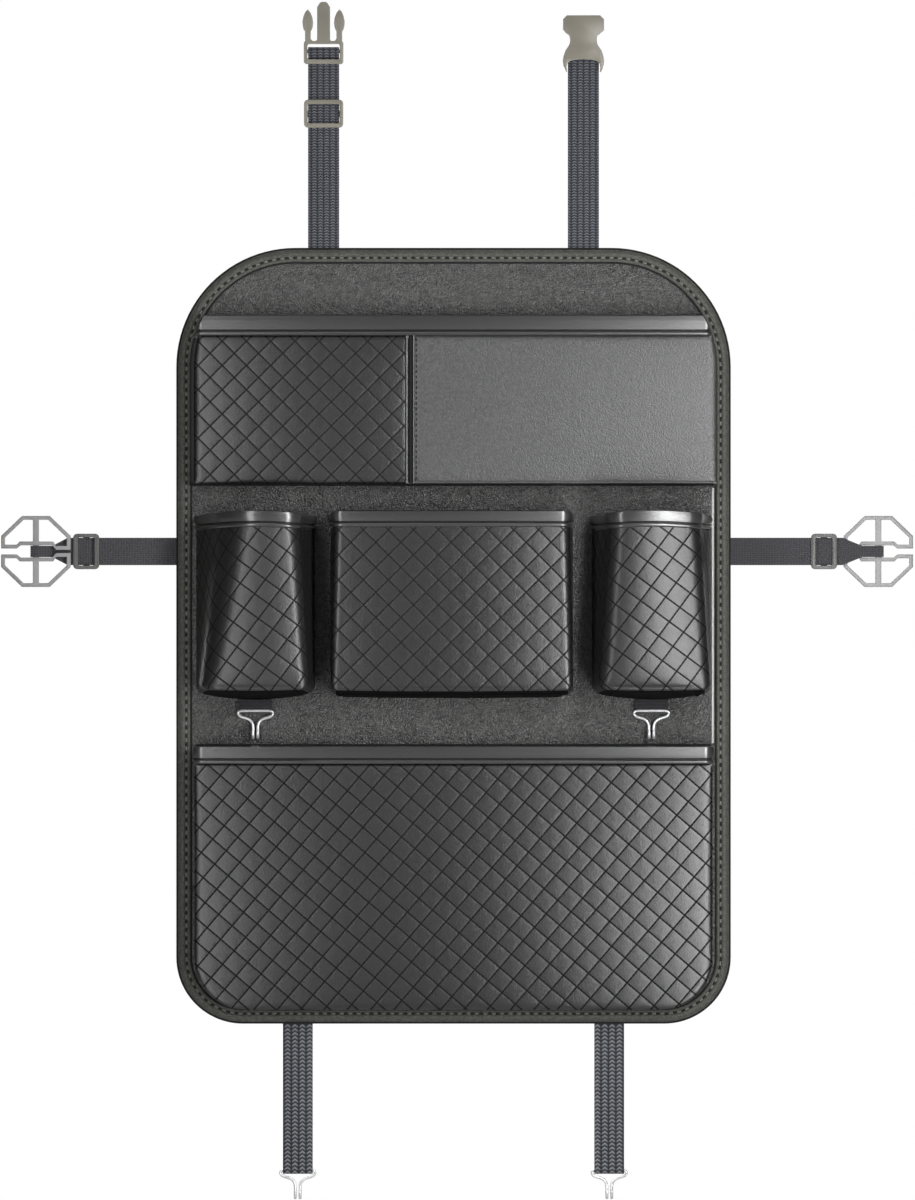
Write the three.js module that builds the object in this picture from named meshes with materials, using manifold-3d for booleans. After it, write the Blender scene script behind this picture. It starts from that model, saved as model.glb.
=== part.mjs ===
import * as THREE from 'three';
import { mergeVertices } from 'three/addons/utils/BufferGeometryUtils.js';
import Module from 'manifold-3d';

// Car seat back organizer: a padded panel in a folded edge binding, with a flat top pocket in two
// halves, two bottle cups beside a deep centre pocket, a wide bottom pocket, two wire bag hooks under
// the cups, and the straps that tie it to the seat: a side release buckle at the top, elastics with
// octagonal clips at the sides and braided straps with wire hooks at the bottom.
// Millimetres. +Z is up, +X is to the right seen from the front, the front faces -Y, and the flat
// back lies in the plane y = 0 with the origin at its middle.

// Panel, its lining and the folded tape round its edge
const panelWidth = 420;
const panelHeight = 588;
const topCornerRadius = 90;
const bottomCornerRadius = 50;
const liningThickness = 0.8;
const boardThickness = 4;
const bindingWidth = 10.5;
const bindingThickness = 1.2;
const clearance = 0.3;

// Pockets
const leatherThickness = 2;
const faceThickness = 3;
const beadHeight = 3.6;
const grooveHeight = 0.9;
const rimProud = 1;

const topPocketDrop = 51;
const topPocketHeight = 127.7;
const topPocketRimHeight = 15.5;
const topPocketDepth = 12;
const flatPocketSwell = 3.5;
const dividerX = -32.3;
const dividerThickness = 4;
const dividerGap = 2.4;

const middleRowGap = 20.6;
const middleRimHeight = 12.4;
const cupWidth = 90;
const cupHeight = 136;
const cupDepth = 58;
const cupBaseDrop = 2.5;
const cupBaseSag = 4.5;
const cupMouthBulge = 4;
const cupSideGap = 4;
const cupCornerRadius = 9;

const middleColumnGap = 13.2;
const centrePocketOffset = -1.3;
const centrePocketHeight = 136.6;
const centrePocketDepth = 38;
const centrePocketTaper = 3;
const centrePocketBaseDrop = 3.2;
const centrePocketBaseSag = 1;
const centrePocketBulge = 2.5;
const centrePocketCornerRadius = 5;
const frontEdgeSag = 0.8;

const bottomRowGap = 35.4;
const bottomPocketRimHeight = 13.4;
const bottomPocketDepth = 16;
const bottomPocketSideGap = 3;

// Quilting: the angles of its two families of seams from level, the gap between seams, and how far
// a crossing of two seams stands in from the face's left end and up from its bottom
const quiltPuff = 1.1;
const topQuilt = { falling: 45, rising: 45, gap: 13, crossing: [42.4, 89.6] };
const bottomQuilt = { falling: 40.5, rising: 49.5, gap: 13.4, crossing: [40.1, 160] };
const cupQuilt = { falling: 36, rising: 53, gap: 13.4, crossing: [42, 60] };
const centreQuilt = { falling: 45, rising: 45, gap: 13.3, crossing: [88, 100] };

// Webbing
const webbingThickness = 1.4;
const webbingBack = -2;
const sewnLength = 18;
const tailLength = 12;
const loopClearance = 0.35;

const topStrapWidth = 23.6;
const topStrapX = 98.6;
const topStrapLength = 149.6;
const topSliderDrop = 47.3;
const buckleBarRadius = 1.5;

const bottomStrapWidth = 22.6;
const bottomStrapX = 118.2;
const bottomStrapLength = 111.6;

const elasticWidth = 20.8;
const elasticDrop = 30.7;
const elasticNeckWidth = 8.6;
const clipReach = { left: 106.9, right: 112.6 };
const sideSliderReach = { left: 68.8, right: 71.2 };

// Side release buckle: half widths, and heights above the bar that its webbing loops round
const socketHalfWidth = 15.6;
const socketWaist = 10.2;
const socketWall = 1.5;
const socketLegDrop = 15.6;
const socketMouth = -6.6;
const socketWaistHeight = 8.5;
const socketShoulder = 16.1;
const socketHeight = 27.1;
const prongFrameHalf = 15;
const prongFrameBottom = -9.7;
const prongFrameTop = 7.3;
const prongBarWidth = 3.5;
const guideHalf = 4.9;
const guideHeight = 37.4;
const armInside = 9.8;
const armWidth = 4.2;
const armBarb = 16.7;
const armHeight = 31.7;

// Sliders
const sliderFront = 2.2;
const sliderRail = 2.8;
const sliderBackBar = 1.5;

// Octagonal clip, measured from the middle of its crossbar
const clipHalfLength = 26.4;
const clipHalfHeight = 27;
const clipFlatLength = 10.5;
const clipFlatHeight = 11.8;
const clipBar = 3;
const clipThickness = 3;
const clipCrossbar = 4.6;
const clipChannel = 9.2;
const clipMouth = 4.4;
const clipSlit = 2.3;

// Wire hooks
const wireDiameter = 2.2;
const hookHalfWidth = 13.7;
const hookDrop = 18;
const hookProngSpread = 3.6;
const hookBend = 3.4;
const hookTip = 3;
const tabWidth = 25;
const tabDrop = 8.2;

// Places worked out from the sizes above
const panelTop = panelHeight / 2;
const panelBottom = -panelHeight / 2;
const panelSide = panelWidth / 2;
const panelFront = -(liningThickness + boardThickness);
const fieldInset = bindingWidth + clearance;

const topPocketTop = panelTop - topPocketDrop;
const topPocketBottom = topPocketTop - topPocketHeight;
const middleTop = topPocketBottom - middleRowGap;
const middleRimBottom = middleTop - middleRimHeight;
const cupFrontBottom = middleTop - cupHeight;
const cupBackBottom = cupFrontBottom - cupBaseDrop - cupBaseSag;
const cupOuterX = panelSide - fieldInset - cupSideGap;
const bottomPocketBottom = panelBottom + fieldInset;
const bottomPocketTop = cupBackBottom - bottomRowGap;

const webbingFront = webbingBack - webbingThickness;
const buckleLoopRadius = buckleBarRadius + loopClearance + webbingThickness;
const buckleBarY = webbingBack - buckleLoopRadius;
const buckleBarZ = panelTop + topStrapLength;
const topSliderZ = buckleBarZ - topSliderDrop;
const elasticZ = middleTop - elasticDrop;
const wireLoopRadius = wireDiameter / 2 + loopClearance + webbingThickness;
const bottomHookY = webbingBack - wireLoopRadius;
const bottomHookZ = panelBottom - bottomStrapLength;
const tabHookY = panelFront - wireLoopRadius;
const tabTop = cupBackBottom - clearance;
const tabHookZ = tabTop - tabDrop;

// Materials
const plain = (color, roughness, metalness = 0) =>
  new THREE.MeshStandardMaterial({ color, roughness, metalness });
const quiltedLeather = plain(0x47474a, 0.45);
const grainedLeather = plain(0x4e4e52, 0.5);
const trimLeather = plain(0x5c5c60, 0.35);
const boardLeather = plain(0x4a4a4c, 0.6);
const bindingTape = plain(0x4c4c46, 0.8);
const liningCloth = plain(0x2c2c2e, 0.95);
const webbingCloth = plain(0x4a4f58, 0.85);
const elasticCloth = plain(0x55555c, 0.9);
const khakiPlastic = plain(0x99938a, 0.4);
const darkPlastic = plain(0x3a3a38, 0.45);
const greyPlastic = plain(0x9c9c9e, 0.35);
const brightWire = plain(0xd6d6d8, 0.2, 1);

const organizer = new THREE.Group();

function add(name, geometry, material) {
  const mesh = new THREE.Mesh(geometry, material);
  mesh.name = name;
  organizer.add(mesh);
  return mesh;
}

// Booleans
const wasm = await Module();
wasm.setup();

function toSolid(geometry) {
  const bare = geometry.clone();
  bare.deleteAttribute('normal');
  bare.deleteAttribute('uv');
  const merged = mergeVertices(bare, 1e-4);
  return new wasm.Manifold(new wasm.Mesh({
    numProp: 3,
    vertProperties: new Float32Array(merged.attributes.position.array),
    triVerts: new Uint32Array(merged.index.array),
  }));
}

function toGeometry(solid) {
  const mesh = solid.getMesh();
  const geometry = new THREE.BufferGeometry();
  geometry.setAttribute('position', new THREE.BufferAttribute(mesh.vertProperties, 3));
  geometry.setIndex(new THREE.BufferAttribute(mesh.triVerts, 1));
  return geometry;
}

const join = (first, ...rest) =>
  toGeometry(rest.reduce((sum, next) => sum.add(toSolid(next)), toSolid(first)));
const cut = (first, ...rest) =>
  toGeometry(rest.reduce((left, next) => left.subtract(toSolid(next)), toSolid(first)));
const keepInside = (first, second) => toGeometry(toSolid(first).intersect(toSolid(second)));

// Flat outlines
const point = (x, y) => new THREE.Vector2(x, y);

function roundCorners(corners, radii, closed, steps = 8) {
  const path = [];
  const count = corners.length;
  corners.forEach((corner, index) => {
    const atEnd = !closed && (index === 0 || index === count - 1);
    const radius = Array.isArray(radii) ? radii[index] : radii;
    if (atEnd || radius === 0) {
      path.push(corner.clone());
      return;
    }
    const toPrevious = corners[(index + count - 1) % count].clone().sub(corner).normalize();
    const toNext = corners[(index + 1) % count].clone().sub(corner).normalize();
    const halfAngle = Math.acos(toPrevious.dot(toNext)) / 2;
    const middle = toPrevious.clone().add(toNext).normalize();
    const centre = corner.clone().addScaledVector(middle, radius / Math.sin(halfAngle));
    const reach = radius / Math.tan(halfAngle);
    const start = corner.clone().addScaledVector(toPrevious, reach).sub(centre);
    const end = corner.clone().addScaledVector(toNext, reach).sub(centre);
    const turn = Math.atan2(start.cross(end), start.dot(end));
    const segments = Array.isArray(steps) ? steps[index] : steps;
    for (let step = 0; step <= segments; step += 1) {
      const spoke = start.clone().rotateAround(point(0, 0), (turn * step) / segments);
      path.push(centre.clone().add(spoke));
    }
  });
  return path;
}

// The vector that moves each path point sideways by one, to the right of the walk. The ends of an
// open path move along X alone wherever the walk turns across it, so that they end flat.
function sideVectors(path, closed) {
  const count = path.length;
  const normals = path.map((start, index) => {
    const walk = path[(index + 1) % count].clone().sub(start).normalize();
    return point(walk.y, -walk.x);
  });
  const endVector = (normal) => (Math.abs(normal.x) > 0.1 ? point(1 / normal.x, 0) : normal);
  return path.map((start, index) => {
    if (!closed && index === 0) return endVector(normals[0]);
    if (!closed && index === count - 1) return endVector(normals[count - 2]);
    const before = normals[(index + count - 1) % count];
    const after = normals[index];
    return before.clone().add(after).divideScalar(1 + before.dot(after));
  });
}

function offsetPath(path, distance, closed = false) {
  const sideways = sideVectors(path, closed);
  return path.map((start, index) => start.clone().addScaledVector(sideways[index], distance));
}

const wallOutline = (path, thickness) => [...path, ...offsetPath(path, -thickness).reverse()];

const rectangle = (left, right, bottom, top) =>
  [point(left, bottom), point(right, bottom), point(right, top), point(left, top)];

const panelOutline = (inset) => roundCorners(
  rectangle(-panelSide + inset, panelSide - inset, panelBottom + inset, panelTop - inset),
  [bottomCornerRadius, bottomCornerRadius, topCornerRadius, topCornerRadius]
    .map((radius) => radius - inset),
  true,
  [6, 6, 11, 11],
);

// Solids from outlines. An outline drawn in X and Z becomes a plate that reaches forward from back.
function plate(outline, back, depth, bevel = 0, holes = []) {
  const shape = new THREE.Shape(outline);
  shape.holes = holes.map((hole) => new THREE.Path(hole));
  return new THREE.ExtrudeGeometry(shape, {
    depth: depth - 2 * bevel,
    bevelEnabled: bevel > 0,
    bevelThickness: bevel,
    bevelSize: bevel,
    bevelOffset: -bevel,
    bevelSegments: 1,
    curveSegments: 12,
  }).translate(0, 0, bevel).rotateX(Math.PI / 2).translate(0, back, 0);
}

function block(left, right, front, back, bottom, top) {
  return new THREE.BoxGeometry(right - left, back - front, top - bottom)
    .translate((left + right) / 2, (front + back) / 2, (bottom + top) / 2);
}

const rodAlongX = (radius, length, x, y, z) =>
  new THREE.CylinderGeometry(radius, radius, length, 10).rotateZ(Math.PI / 2).translate(x, y, z);

// A closed skin of triangles, turned so that it faces outwards
function closedSkin(corners, index) {
  const volume = index.reduce((sum, _, at) => {
    if (at % 3 !== 0) return sum;
    const [a, b, c] = [corners[index[at]], corners[index[at + 1]], corners[index[at + 2]]];
    return sum + a.dot(b.clone().cross(c));
  }, 0);
  if (volume < 0) {
    for (let at = 0; at < index.length; at += 3) {
      [index[at + 1], index[at + 2]] = [index[at + 2], index[at + 1]];
    }
  }
  const geometry = new THREE.BufferGeometry().setFromPoints(corners);
  geometry.setIndex(index);
  return geometry;
}

// A closed skin over rings of equal point counts, with flat ends unless the rings close on themselves
function loft(rings, section, closed = false) {
  const size = section.length;
  const index = [];
  const last = closed ? rings.length : rings.length - 1;
  for (let ring = 0; ring < last; ring += 1) {
    const here = ring * size;
    const there = ((ring + 1) % rings.length) * size;
    for (let corner = 0; corner < size; corner += 1) {
      const next = (corner + 1) % size;
      index.push(here + corner, here + next, there + next);
      index.push(here + corner, there + next, there + corner);
    }
  }
  if (!closed) {
    const counterClockwise = THREE.ShapeUtils.area(section) > 0;
    const final = (rings.length - 1) * size;
    THREE.ShapeUtils.triangulateShape(section, []).forEach(([a, b, c]) => {
      const [second, third] = counterClockwise ? [b, c] : [c, b];
      index.push(final + a, final + second, final + third);
      index.push(a, third, second);
    });
  }
  return closedSkin(rings.flat(), index);
}

// A section of sideways offsets and heights, carried along a flat path
function sweep(path, section, closed = false) {
  const sideways = sideVectors(path, closed);
  const rings = path.map((start, index) => section.map(({ x, y }) => new THREE.Vector3(
    start.x + sideways[index].x * x,
    start.y + sideways[index].y * x,
    y,
  )));
  return loft(rings, section, closed);
}

// Quilted leather: a slab with a flat back and a lattice of seams on its front, one low pillow in each
// diamond. The seams lie at depth in front of the back, plus the swell at their place.
function quiltedSlab(quilt, crossing, reach, back, depth, swell) {
  const fall = THREE.MathUtils.degToRad(quilt.falling);
  const rise = THREE.MathUtils.degToRad(quilt.rising);
  const side = quilt.gap / Math.sin(fall + rise);
  const alongFall = point(Math.cos(fall), -Math.sin(fall)).multiplyScalar(side);
  const alongRise = point(Math.cos(rise), Math.sin(rise)).multiplyScalar(side);
  const half = Math.ceil(reach / quilt.gap);
  const place = (column, row, puff) => {
    const { x, y: z } = crossing.clone()
      .addScaledVector(alongFall, column - half)
      .addScaledVector(alongRise, row - half);
    return new THREE.Vector3(x, back - depth - swell(x, z) - puff, z);
  };
  const last = 2 * half;
  const at = (column, row) => column * (last + 1) + row;
  const corners = [];
  for (let column = 0; column <= last; column += 1) {
    for (let row = 0; row <= last; row += 1) corners.push(place(column, row, 0));
  }
  const index = [];
  for (let column = 0; column < last; column += 1) {
    for (let row = 0; row < last; row += 1) {
      const ring = [
        at(column, row), at(column + 1, row), at(column + 1, row + 1), at(column, row + 1),
      ];
      const middle = corners.push(place(column + 0.5, row + 0.5, quiltPuff)) - 1;
      ring.forEach((corner, turn) => index.push(corner, ring[(turn + 1) % 4], middle));
    }
  }
  const rim = [];
  for (let step = 0; step < last; step += 1) rim.push(at(step, 0));
  for (let step = 0; step < last; step += 1) rim.push(at(last, step));
  for (let step = last; step > 0; step -= 1) rim.push(at(step, last));
  for (let step = last; step > 0; step -= 1) rim.push(at(0, step));
  const firstBack = corners.length;
  rim.forEach((corner) => corners.push(corners[corner].clone().setY(back)));
  const backMiddle = corners.push(new THREE.Vector3(crossing.x, back, crossing.y)) - 1;
  rim.forEach((corner, turn) => {
    const nextTurn = (turn + 1) % rim.length;
    const here = firstBack + turn;
    const next = firstBack + nextTurn;
    index.push(rim[nextTurn], corner, here, rim[nextTurn], here, next, next, here, backMiddle);
  });
  return closedSkin(corners, index);
}

// How far a face has swollen at a share of its width or height: nothing at its ends
const swellAt = (share) => Math.sin(Math.PI * THREE.MathUtils.clamp(share, 0, 1)) ** 0.6;

// A flat pocket's quilted face: the slab inside the face's outline
function quiltedFace(quilt, outline, back, depth, amount) {
  const box = new THREE.Box2().setFromPoints(outline);
  const size = box.getSize(point(0, 0));
  const crossing = point(box.min.x + quilt.crossing[0], box.min.y + quilt.crossing[1]);
  const swell = (x, z) => amount * swellAt((x - box.min.x) / size.x)
    * swellAt((z - box.min.y) / size.y);
  return keepInside(
    quiltedSlab(quilt, crossing, size.length(), back, depth, swell),
    plate(outline, back + 1, depth + amount + quiltPuff + 2),
  );
}

// Webbing seen from its edge: a stem that ends in a loop sewn back onto it. u runs along the stem
// and v from its back to its front; the loop's hole is round.
function loopedWebbing(length, hole) {
  const outer = hole + webbingThickness;
  const shape = new THREE.Shape();
  shape.moveTo(0, 0);
  shape.lineTo(length, 0);
  shape.absarc(length, outer, outer, -Math.PI / 2, Math.PI * 0.78, false);
  shape.lineTo(length - tailLength * 0.45, 2 * webbingThickness);
  shape.lineTo(length - tailLength, 2 * webbingThickness);
  shape.lineTo(length - tailLength - webbingThickness, webbingThickness);
  shape.lineTo(0, webbingThickness);
  shape.closePath();
  const bore = new THREE.Path();
  bore.absarc(length, outer, hole, 0, 2 * Math.PI, true);
  shape.holes.push(bore);
  return shape;
}

function laidWebbing(shape, width, start, along) {
  const forward = new THREE.Vector3(0, -1, 0);
  const across = along.clone().cross(forward);
  const geometry = new THREE.ExtrudeGeometry(shape, {
    depth: width, bevelEnabled: false, curveSegments: 8,
  });
  geometry.translate(0, 0, -width / 2);
  geometry.applyMatrix4(new THREE.Matrix4().makeBasis(along, forward, across));
  return geometry.translate(start.x, start.y, start.z);
}

const up = new THREE.Vector3(0, 0, 1);
const down = new THREE.Vector3(0, 0, -1);
const outward = (side) => new THREE.Vector3(side, 0, 0);

// Panel: board, lining and binding, with slots where the straps are sewn in
const slotBack = webbingBack + clearance;
const slotFront = webbingFront - clearance;

const strapSlots = [-1, 1].flatMap((side) => {
  const topHalf = topStrapWidth / 2 + clearance;
  const bottomHalf = bottomStrapWidth / 2 + clearance;
  const elasticHalf = elasticWidth / 2 + clearance;
  const reach = sewnLength + clearance;
  return [
    block(side * topStrapX - topHalf, side * topStrapX + topHalf,
      slotFront, slotBack, panelTop - topCornerRadius / 4 - reach, panelTop + 1),
    block(side * bottomStrapX - bottomHalf, side * bottomStrapX + bottomHalf,
      slotFront, slotBack, panelBottom - 1, panelBottom + reach),
    block(side * (panelSide - reach / 2) - reach / 2 - 1, side * (panelSide - reach / 2) + reach / 2 + 1,
      slotFront, slotBack, elasticZ - elasticHalf, elasticZ + elasticHalf),
  ];
});

add('base_panel', cut(
  plate(panelOutline(bindingThickness + clearance), -liningThickness, boardThickness),
  ...strapSlots,
), boardLeather);

add('back_lining', plate(panelOutline(fieldInset), 0, liningThickness), liningCloth);

const bindingBack = 0;
const bindingFront = -panelFront + bindingThickness;
const bindingSection = [
  point(-bindingWidth, bindingBack),
  point(-1.2, bindingBack),
  point(0, 1.2),
  point(0, bindingFront - 1.6),
  point(-1.6, bindingFront),
  point(-bindingWidth, bindingFront),
  point(-bindingWidth, -panelFront),
  point(-bindingThickness, -panelFront),
  point(-bindingThickness, liningThickness),
  point(-bindingWidth, liningThickness),
];
add('edge_binding', cut(
  sweep(panelOutline(0), bindingSection, true).rotateX(Math.PI / 2),
  ...strapSlots,
), bindingTape);

// Rim trim: a smooth band with a groove and a round bead along its lower edge
function rimSection(bottom, height, thickness) {
  const top = bottom + height;
  const grooveBottom = bottom + beadHeight;
  const grooveTop = grooveBottom + grooveHeight;
  return [
    point(-thickness, bottom),
    point(rimProud - 0.6, bottom),
    point(rimProud, bottom + beadHeight / 2),
    point(rimProud - 0.7, (grooveBottom + grooveTop) / 2),
    point(rimProud, grooveTop + 0.8),
    point(rimProud, top - 1.2),
    point(rimProud - 1.4, top),
    point(-thickness, top),
  ];
}

// Flat pockets at the top and bottom: one plain strip round the sides and the bottom, a face on it,
// and a rim along the mouth. Both keep inside the binding. The top one follows the binding's round
// corners, so its strip runs up beside the rim; the bottom one's rim turns back along its sides.
const topPocketSide = panelSide - fieldInset;
const topPocketRimBottom = topPocketTop - topPocketRimHeight;
const topPocketFront = panelFront - topPocketDepth;
const cornerStart = panelTop - topCornerRadius;

function fieldArc(fromZ, steps) {
  const radius = topCornerRadius - fieldInset;
  const startAngle = Math.asin((fromZ - cornerStart) / radius);
  return Array.from({ length: steps }, (_, step) => {
    const angle = startAngle * (1 - step / steps);
    return point(
      panelSide - topCornerRadius + radius * Math.cos(angle),
      cornerStart + radius * Math.sin(angle),
    );
  });
}
const fieldSideAt = (z) => fieldArc(z, 1)[0].x;
const rightArc = fieldArc(topPocketTop, 5);
const topPocketPath = [
  ...rightArc.map(({ x, y }) => point(-x, y)),
  ...roundCorners([
    point(-topPocketSide, cornerStart), point(-topPocketSide, topPocketBottom),
    point(topPocketSide, topPocketBottom), point(topPocketSide, cornerStart),
  ], 6, false, 5),
  ...rightArc.reverse(),
];
const field = plate(panelOutline(fieldInset), 0, 100);
const topPocketOutline = (left, right) => {
  const inside = topPocketPath.filter(({ x, y }) =>
    x > left && x < right && y < topPocketRimBottom);
  const leftTop = left > -topPocketSide ? [point(left, topPocketRimBottom), point(left, topPocketBottom)]
    : [point(-fieldSideAt(topPocketRimBottom), topPocketRimBottom)];
  const rightTop = right < topPocketSide
    ? [point(right, topPocketBottom), point(right, topPocketRimBottom)]
    : [point(fieldSideAt(topPocketRimBottom), topPocketRimBottom)];
  return [...leftTop, ...inside, ...rightTop];
};
add('top_pocket_gusset',
  plate(wallOutline(topPocketPath, leatherThickness), panelFront, topPocketDepth), grainedLeather);
add('top_pocket_rim', keepInside(
  sweep(
    [point(-panelSide, topPocketFront - faceThickness), point(panelSide, topPocketFront - faceThickness)],
    rimSection(topPocketRimBottom, topPocketRimHeight, faceThickness),
  ),
  field,
), trimLeather);
const seamDepth = faceThickness - quiltPuff;
add('top_pocket_face_left', quiltedFace(
  topQuilt, topPocketOutline(-panelSide, dividerX - dividerGap / 2),
  topPocketFront, seamDepth, flatPocketSwell,
), quiltedLeather);
add('top_pocket_face_right', plate(
  topPocketOutline(dividerX + dividerGap / 2, panelSide), topPocketFront, faceThickness,
), grainedLeather);
add('top_pocket_divider', block(
  dividerX - dividerThickness / 2, dividerX + dividerThickness / 2,
  topPocketFront, panelFront,
  topPocketBottom + leatherThickness, topPocketTop - topPocketRimHeight / 2,
), grainedLeather);

const bottomPocketSide = panelSide - fieldInset - bottomPocketSideGap;
const bottomPocketRimBottom = bottomPocketTop - bottomPocketRimHeight;
const bottomPocketFront = panelFront - bottomPocketDepth;
const bottomPocketPath = roundCorners([
  point(-bottomPocketSide, bottomPocketRimBottom), point(-bottomPocketSide, bottomPocketBottom),
  point(bottomPocketSide, bottomPocketBottom), point(bottomPocketSide, bottomPocketRimBottom),
], bottomCornerRadius - fieldInset, false, 6);
const bottomMouthPath = roundCorners([
  point(-bottomPocketSide, panelFront), point(-bottomPocketSide, bottomPocketFront - faceThickness),
  point(bottomPocketSide, bottomPocketFront - faceThickness), point(bottomPocketSide, panelFront),
], 3, false, 4);
add('bottom_pocket_gusset',
  plate(wallOutline(bottomPocketPath, leatherThickness), panelFront, bottomPocketDepth),
  grainedLeather);
add('bottom_pocket_rim', sweep(
  bottomMouthPath, rimSection(bottomPocketRimBottom, bottomPocketRimHeight, faceThickness),
), trimLeather);
add('bottom_pocket_face', quiltedFace(
  bottomQuilt, bottomPocketPath, bottomPocketFront, seamDepth, flatPocketSwell,
), quiltedLeather);

// Deep pockets: plain sides that spread towards the panel, a base that falls and sags towards it, a
// quilted face that bulges between the front creases, and a rim round the mouth
const sagSteps = 4;
const mouthSteps = 4;

function deepPocket(name, pocket) {
  const { back, frontTop, frontBottom, depth, bottom, cornerRadius, bulge } = pocket;
  const front = panelFront - depth;
  const ringPath = ([topLeft, topRight], [bottomLeft, bottomRight], low, sag) => {
    const base = Array.from({ length: sagSteps + 1 }, (_, step) => {
      const share = step / sagSteps;
      return point(
        THREE.MathUtils.lerp(bottomLeft, bottomRight, share), low - sag * Math.sin(Math.PI * share),
      );
    });
    const radii = base.map((_, step) => (step === 0 || step === sagSteps ? cornerRadius : 0));
    return roundCorners(
      [point(topLeft, middleRimBottom), ...base, point(topRight, middleRimBottom)],
      [0, ...radii, 0], false, 4,
    );
  };
  const frontPath = ringPath(frontTop, frontBottom, bottom, frontEdgeSag);
  const backPath = ringPath(back, back, bottom - pocket.baseDrop, pocket.baseSag);
  const ring = (path, y) =>
    wallOutline(path, leatherThickness).map(({ x, y: z }) => new THREE.Vector3(x, y, z));
  add(`${name}_gusset`, loft(
    [ring(backPath, panelFront), ring(frontPath, front)],
    wallOutline(frontPath, leatherThickness),
  ), grainedLeather);

  const tall = middleRimBottom - bottom;
  const sideAt = (side, z) =>
    THREE.MathUtils.lerp(frontBottom[side], frontTop[side], (z - bottom) / tall);
  const bulgeAt = (x, z) => {
    const across = (x - sideAt(0, z)) / (sideAt(1, z) - sideAt(0, z));
    const share = THREE.MathUtils.clamp(across, 0, 1);
    const rise = THREE.MathUtils.clamp((z - bottom) / (2 * cornerRadius), 0, 1);
    return bulge * 4 * share * (1 - share) * Math.sqrt(rise);
  };
  const reach = faceThickness + bulge + quiltPuff;
  const planAt = (tops, bottoms, z) => {
    const wall = (side) => THREE.MathUtils.lerp(bottoms[side], tops[side], (z - bottom) / tall);
    const lean = (side) => back[side] + (wall(side) - back[side]) * ((depth + reach) / depth);
    return roundCorners([
      point(back[0], panelFront), point(lean(0), front - reach),
      point(lean(1), front - reach), point(back[1], panelFront),
    ], cornerRadius * 0.9, false, 2);
  };
  const [lowPlan, highPlan] = [bottom - 2 * frontEdgeSag, middleRimBottom]
    .map((z) => ({ z, plan: planAt(frontTop, frontBottom, z) }));
  const creased = loft(
    [lowPlan, highPlan].map(({ z, plan }) => plan.map(({ x, y }) => new THREE.Vector3(x, y, z))),
    lowPlan.plan,
  );
  const quilt = pocket.quilt;
  const crossing = point(frontBottom[0] + quilt.crossing[0], bottom + quilt.crossing[1]);
  const slab = quiltedSlab(
    quilt, crossing, Math.hypot(back[1] - back[0], tall), front, seamDepth, bulgeAt,
  );
  add(`${name}_face`, keepInside(
    keepInside(slab, plate(frontPath, front + 1, reach + 2)), creased,
  ), quiltedLeather);

  const faceFront = front - faceThickness;
  const rimLean = (depth + faceThickness) / depth;
  const creaseAt = (wall) => back[wall] + (frontTop[wall] - back[wall]) * rimLean;
  const mouth = Array.from({ length: mouthSteps + 1 }, (_, step) => {
    const share = step / mouthSteps;
    return point(
      THREE.MathUtils.lerp(creaseAt(0), creaseAt(1), share),
      faceFront - bulge * 4 * share * (1 - share),
    );
  });
  const mouthRadii = mouth.map((_, step) =>
    (step === 0 || step === mouthSteps ? cornerRadius * 0.8 : 0));
  const mouthPath = roundCorners(
    [point(back[0], panelFront), ...mouth, point(back[1], panelFront)],
    [0, ...mouthRadii, 0], false, 3,
  );
  add(`${name}_rim`, sweep(mouthPath, rimSection(middleRimBottom, middleRimHeight, faceThickness)),
    trimLeather);
}

// Each cup leans its own way in the hand: the insets are how far each front crease stands in from
// the cup's back edge, left and right, at the top and at the bottom
const leftCupInsets = { top: [24, 12], bottom: [5, 4] };
const rightCupInsets = { top: [13, 10], bottom: [4.5, 1.5] };

function cup(name, left, insets) {
  const right = left + cupWidth;
  deepPocket(name, {
    back: [left, right],
    frontTop: [left + insets.top[0], right - insets.top[1]],
    frontBottom: [left + insets.bottom[0], right - insets.bottom[1]],
    depth: cupDepth,
    bottom: cupFrontBottom,
    baseDrop: cupBaseDrop,
    baseSag: cupBaseSag,
    bulge: cupMouthBulge,
    cornerRadius: cupCornerRadius,
    quilt: cupQuilt,
  });
}
cup('left_cup', -cupOuterX, leftCupInsets);
cup('right_cup', cupOuterX - cupWidth, rightCupInsets);

const centreHalf = cupOuterX - cupWidth - middleColumnGap;
deepPocket('centre_pocket', {
  back: [centrePocketOffset - centreHalf, centrePocketOffset + centreHalf],
  frontTop: [
    centrePocketOffset - centreHalf + centrePocketTaper,
    centrePocketOffset + centreHalf - centrePocketTaper,
  ],
  frontBottom: [centrePocketOffset - centreHalf + 0.5, centrePocketOffset + centreHalf - 0.5],
  depth: centrePocketDepth,
  bottom: middleTop - centrePocketHeight,
  baseDrop: centrePocketBaseDrop,
  baseSag: centrePocketBaseSag,
  bulge: centrePocketBulge,
  cornerRadius: centrePocketCornerRadius,
  quilt: centreQuilt,
});

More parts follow.
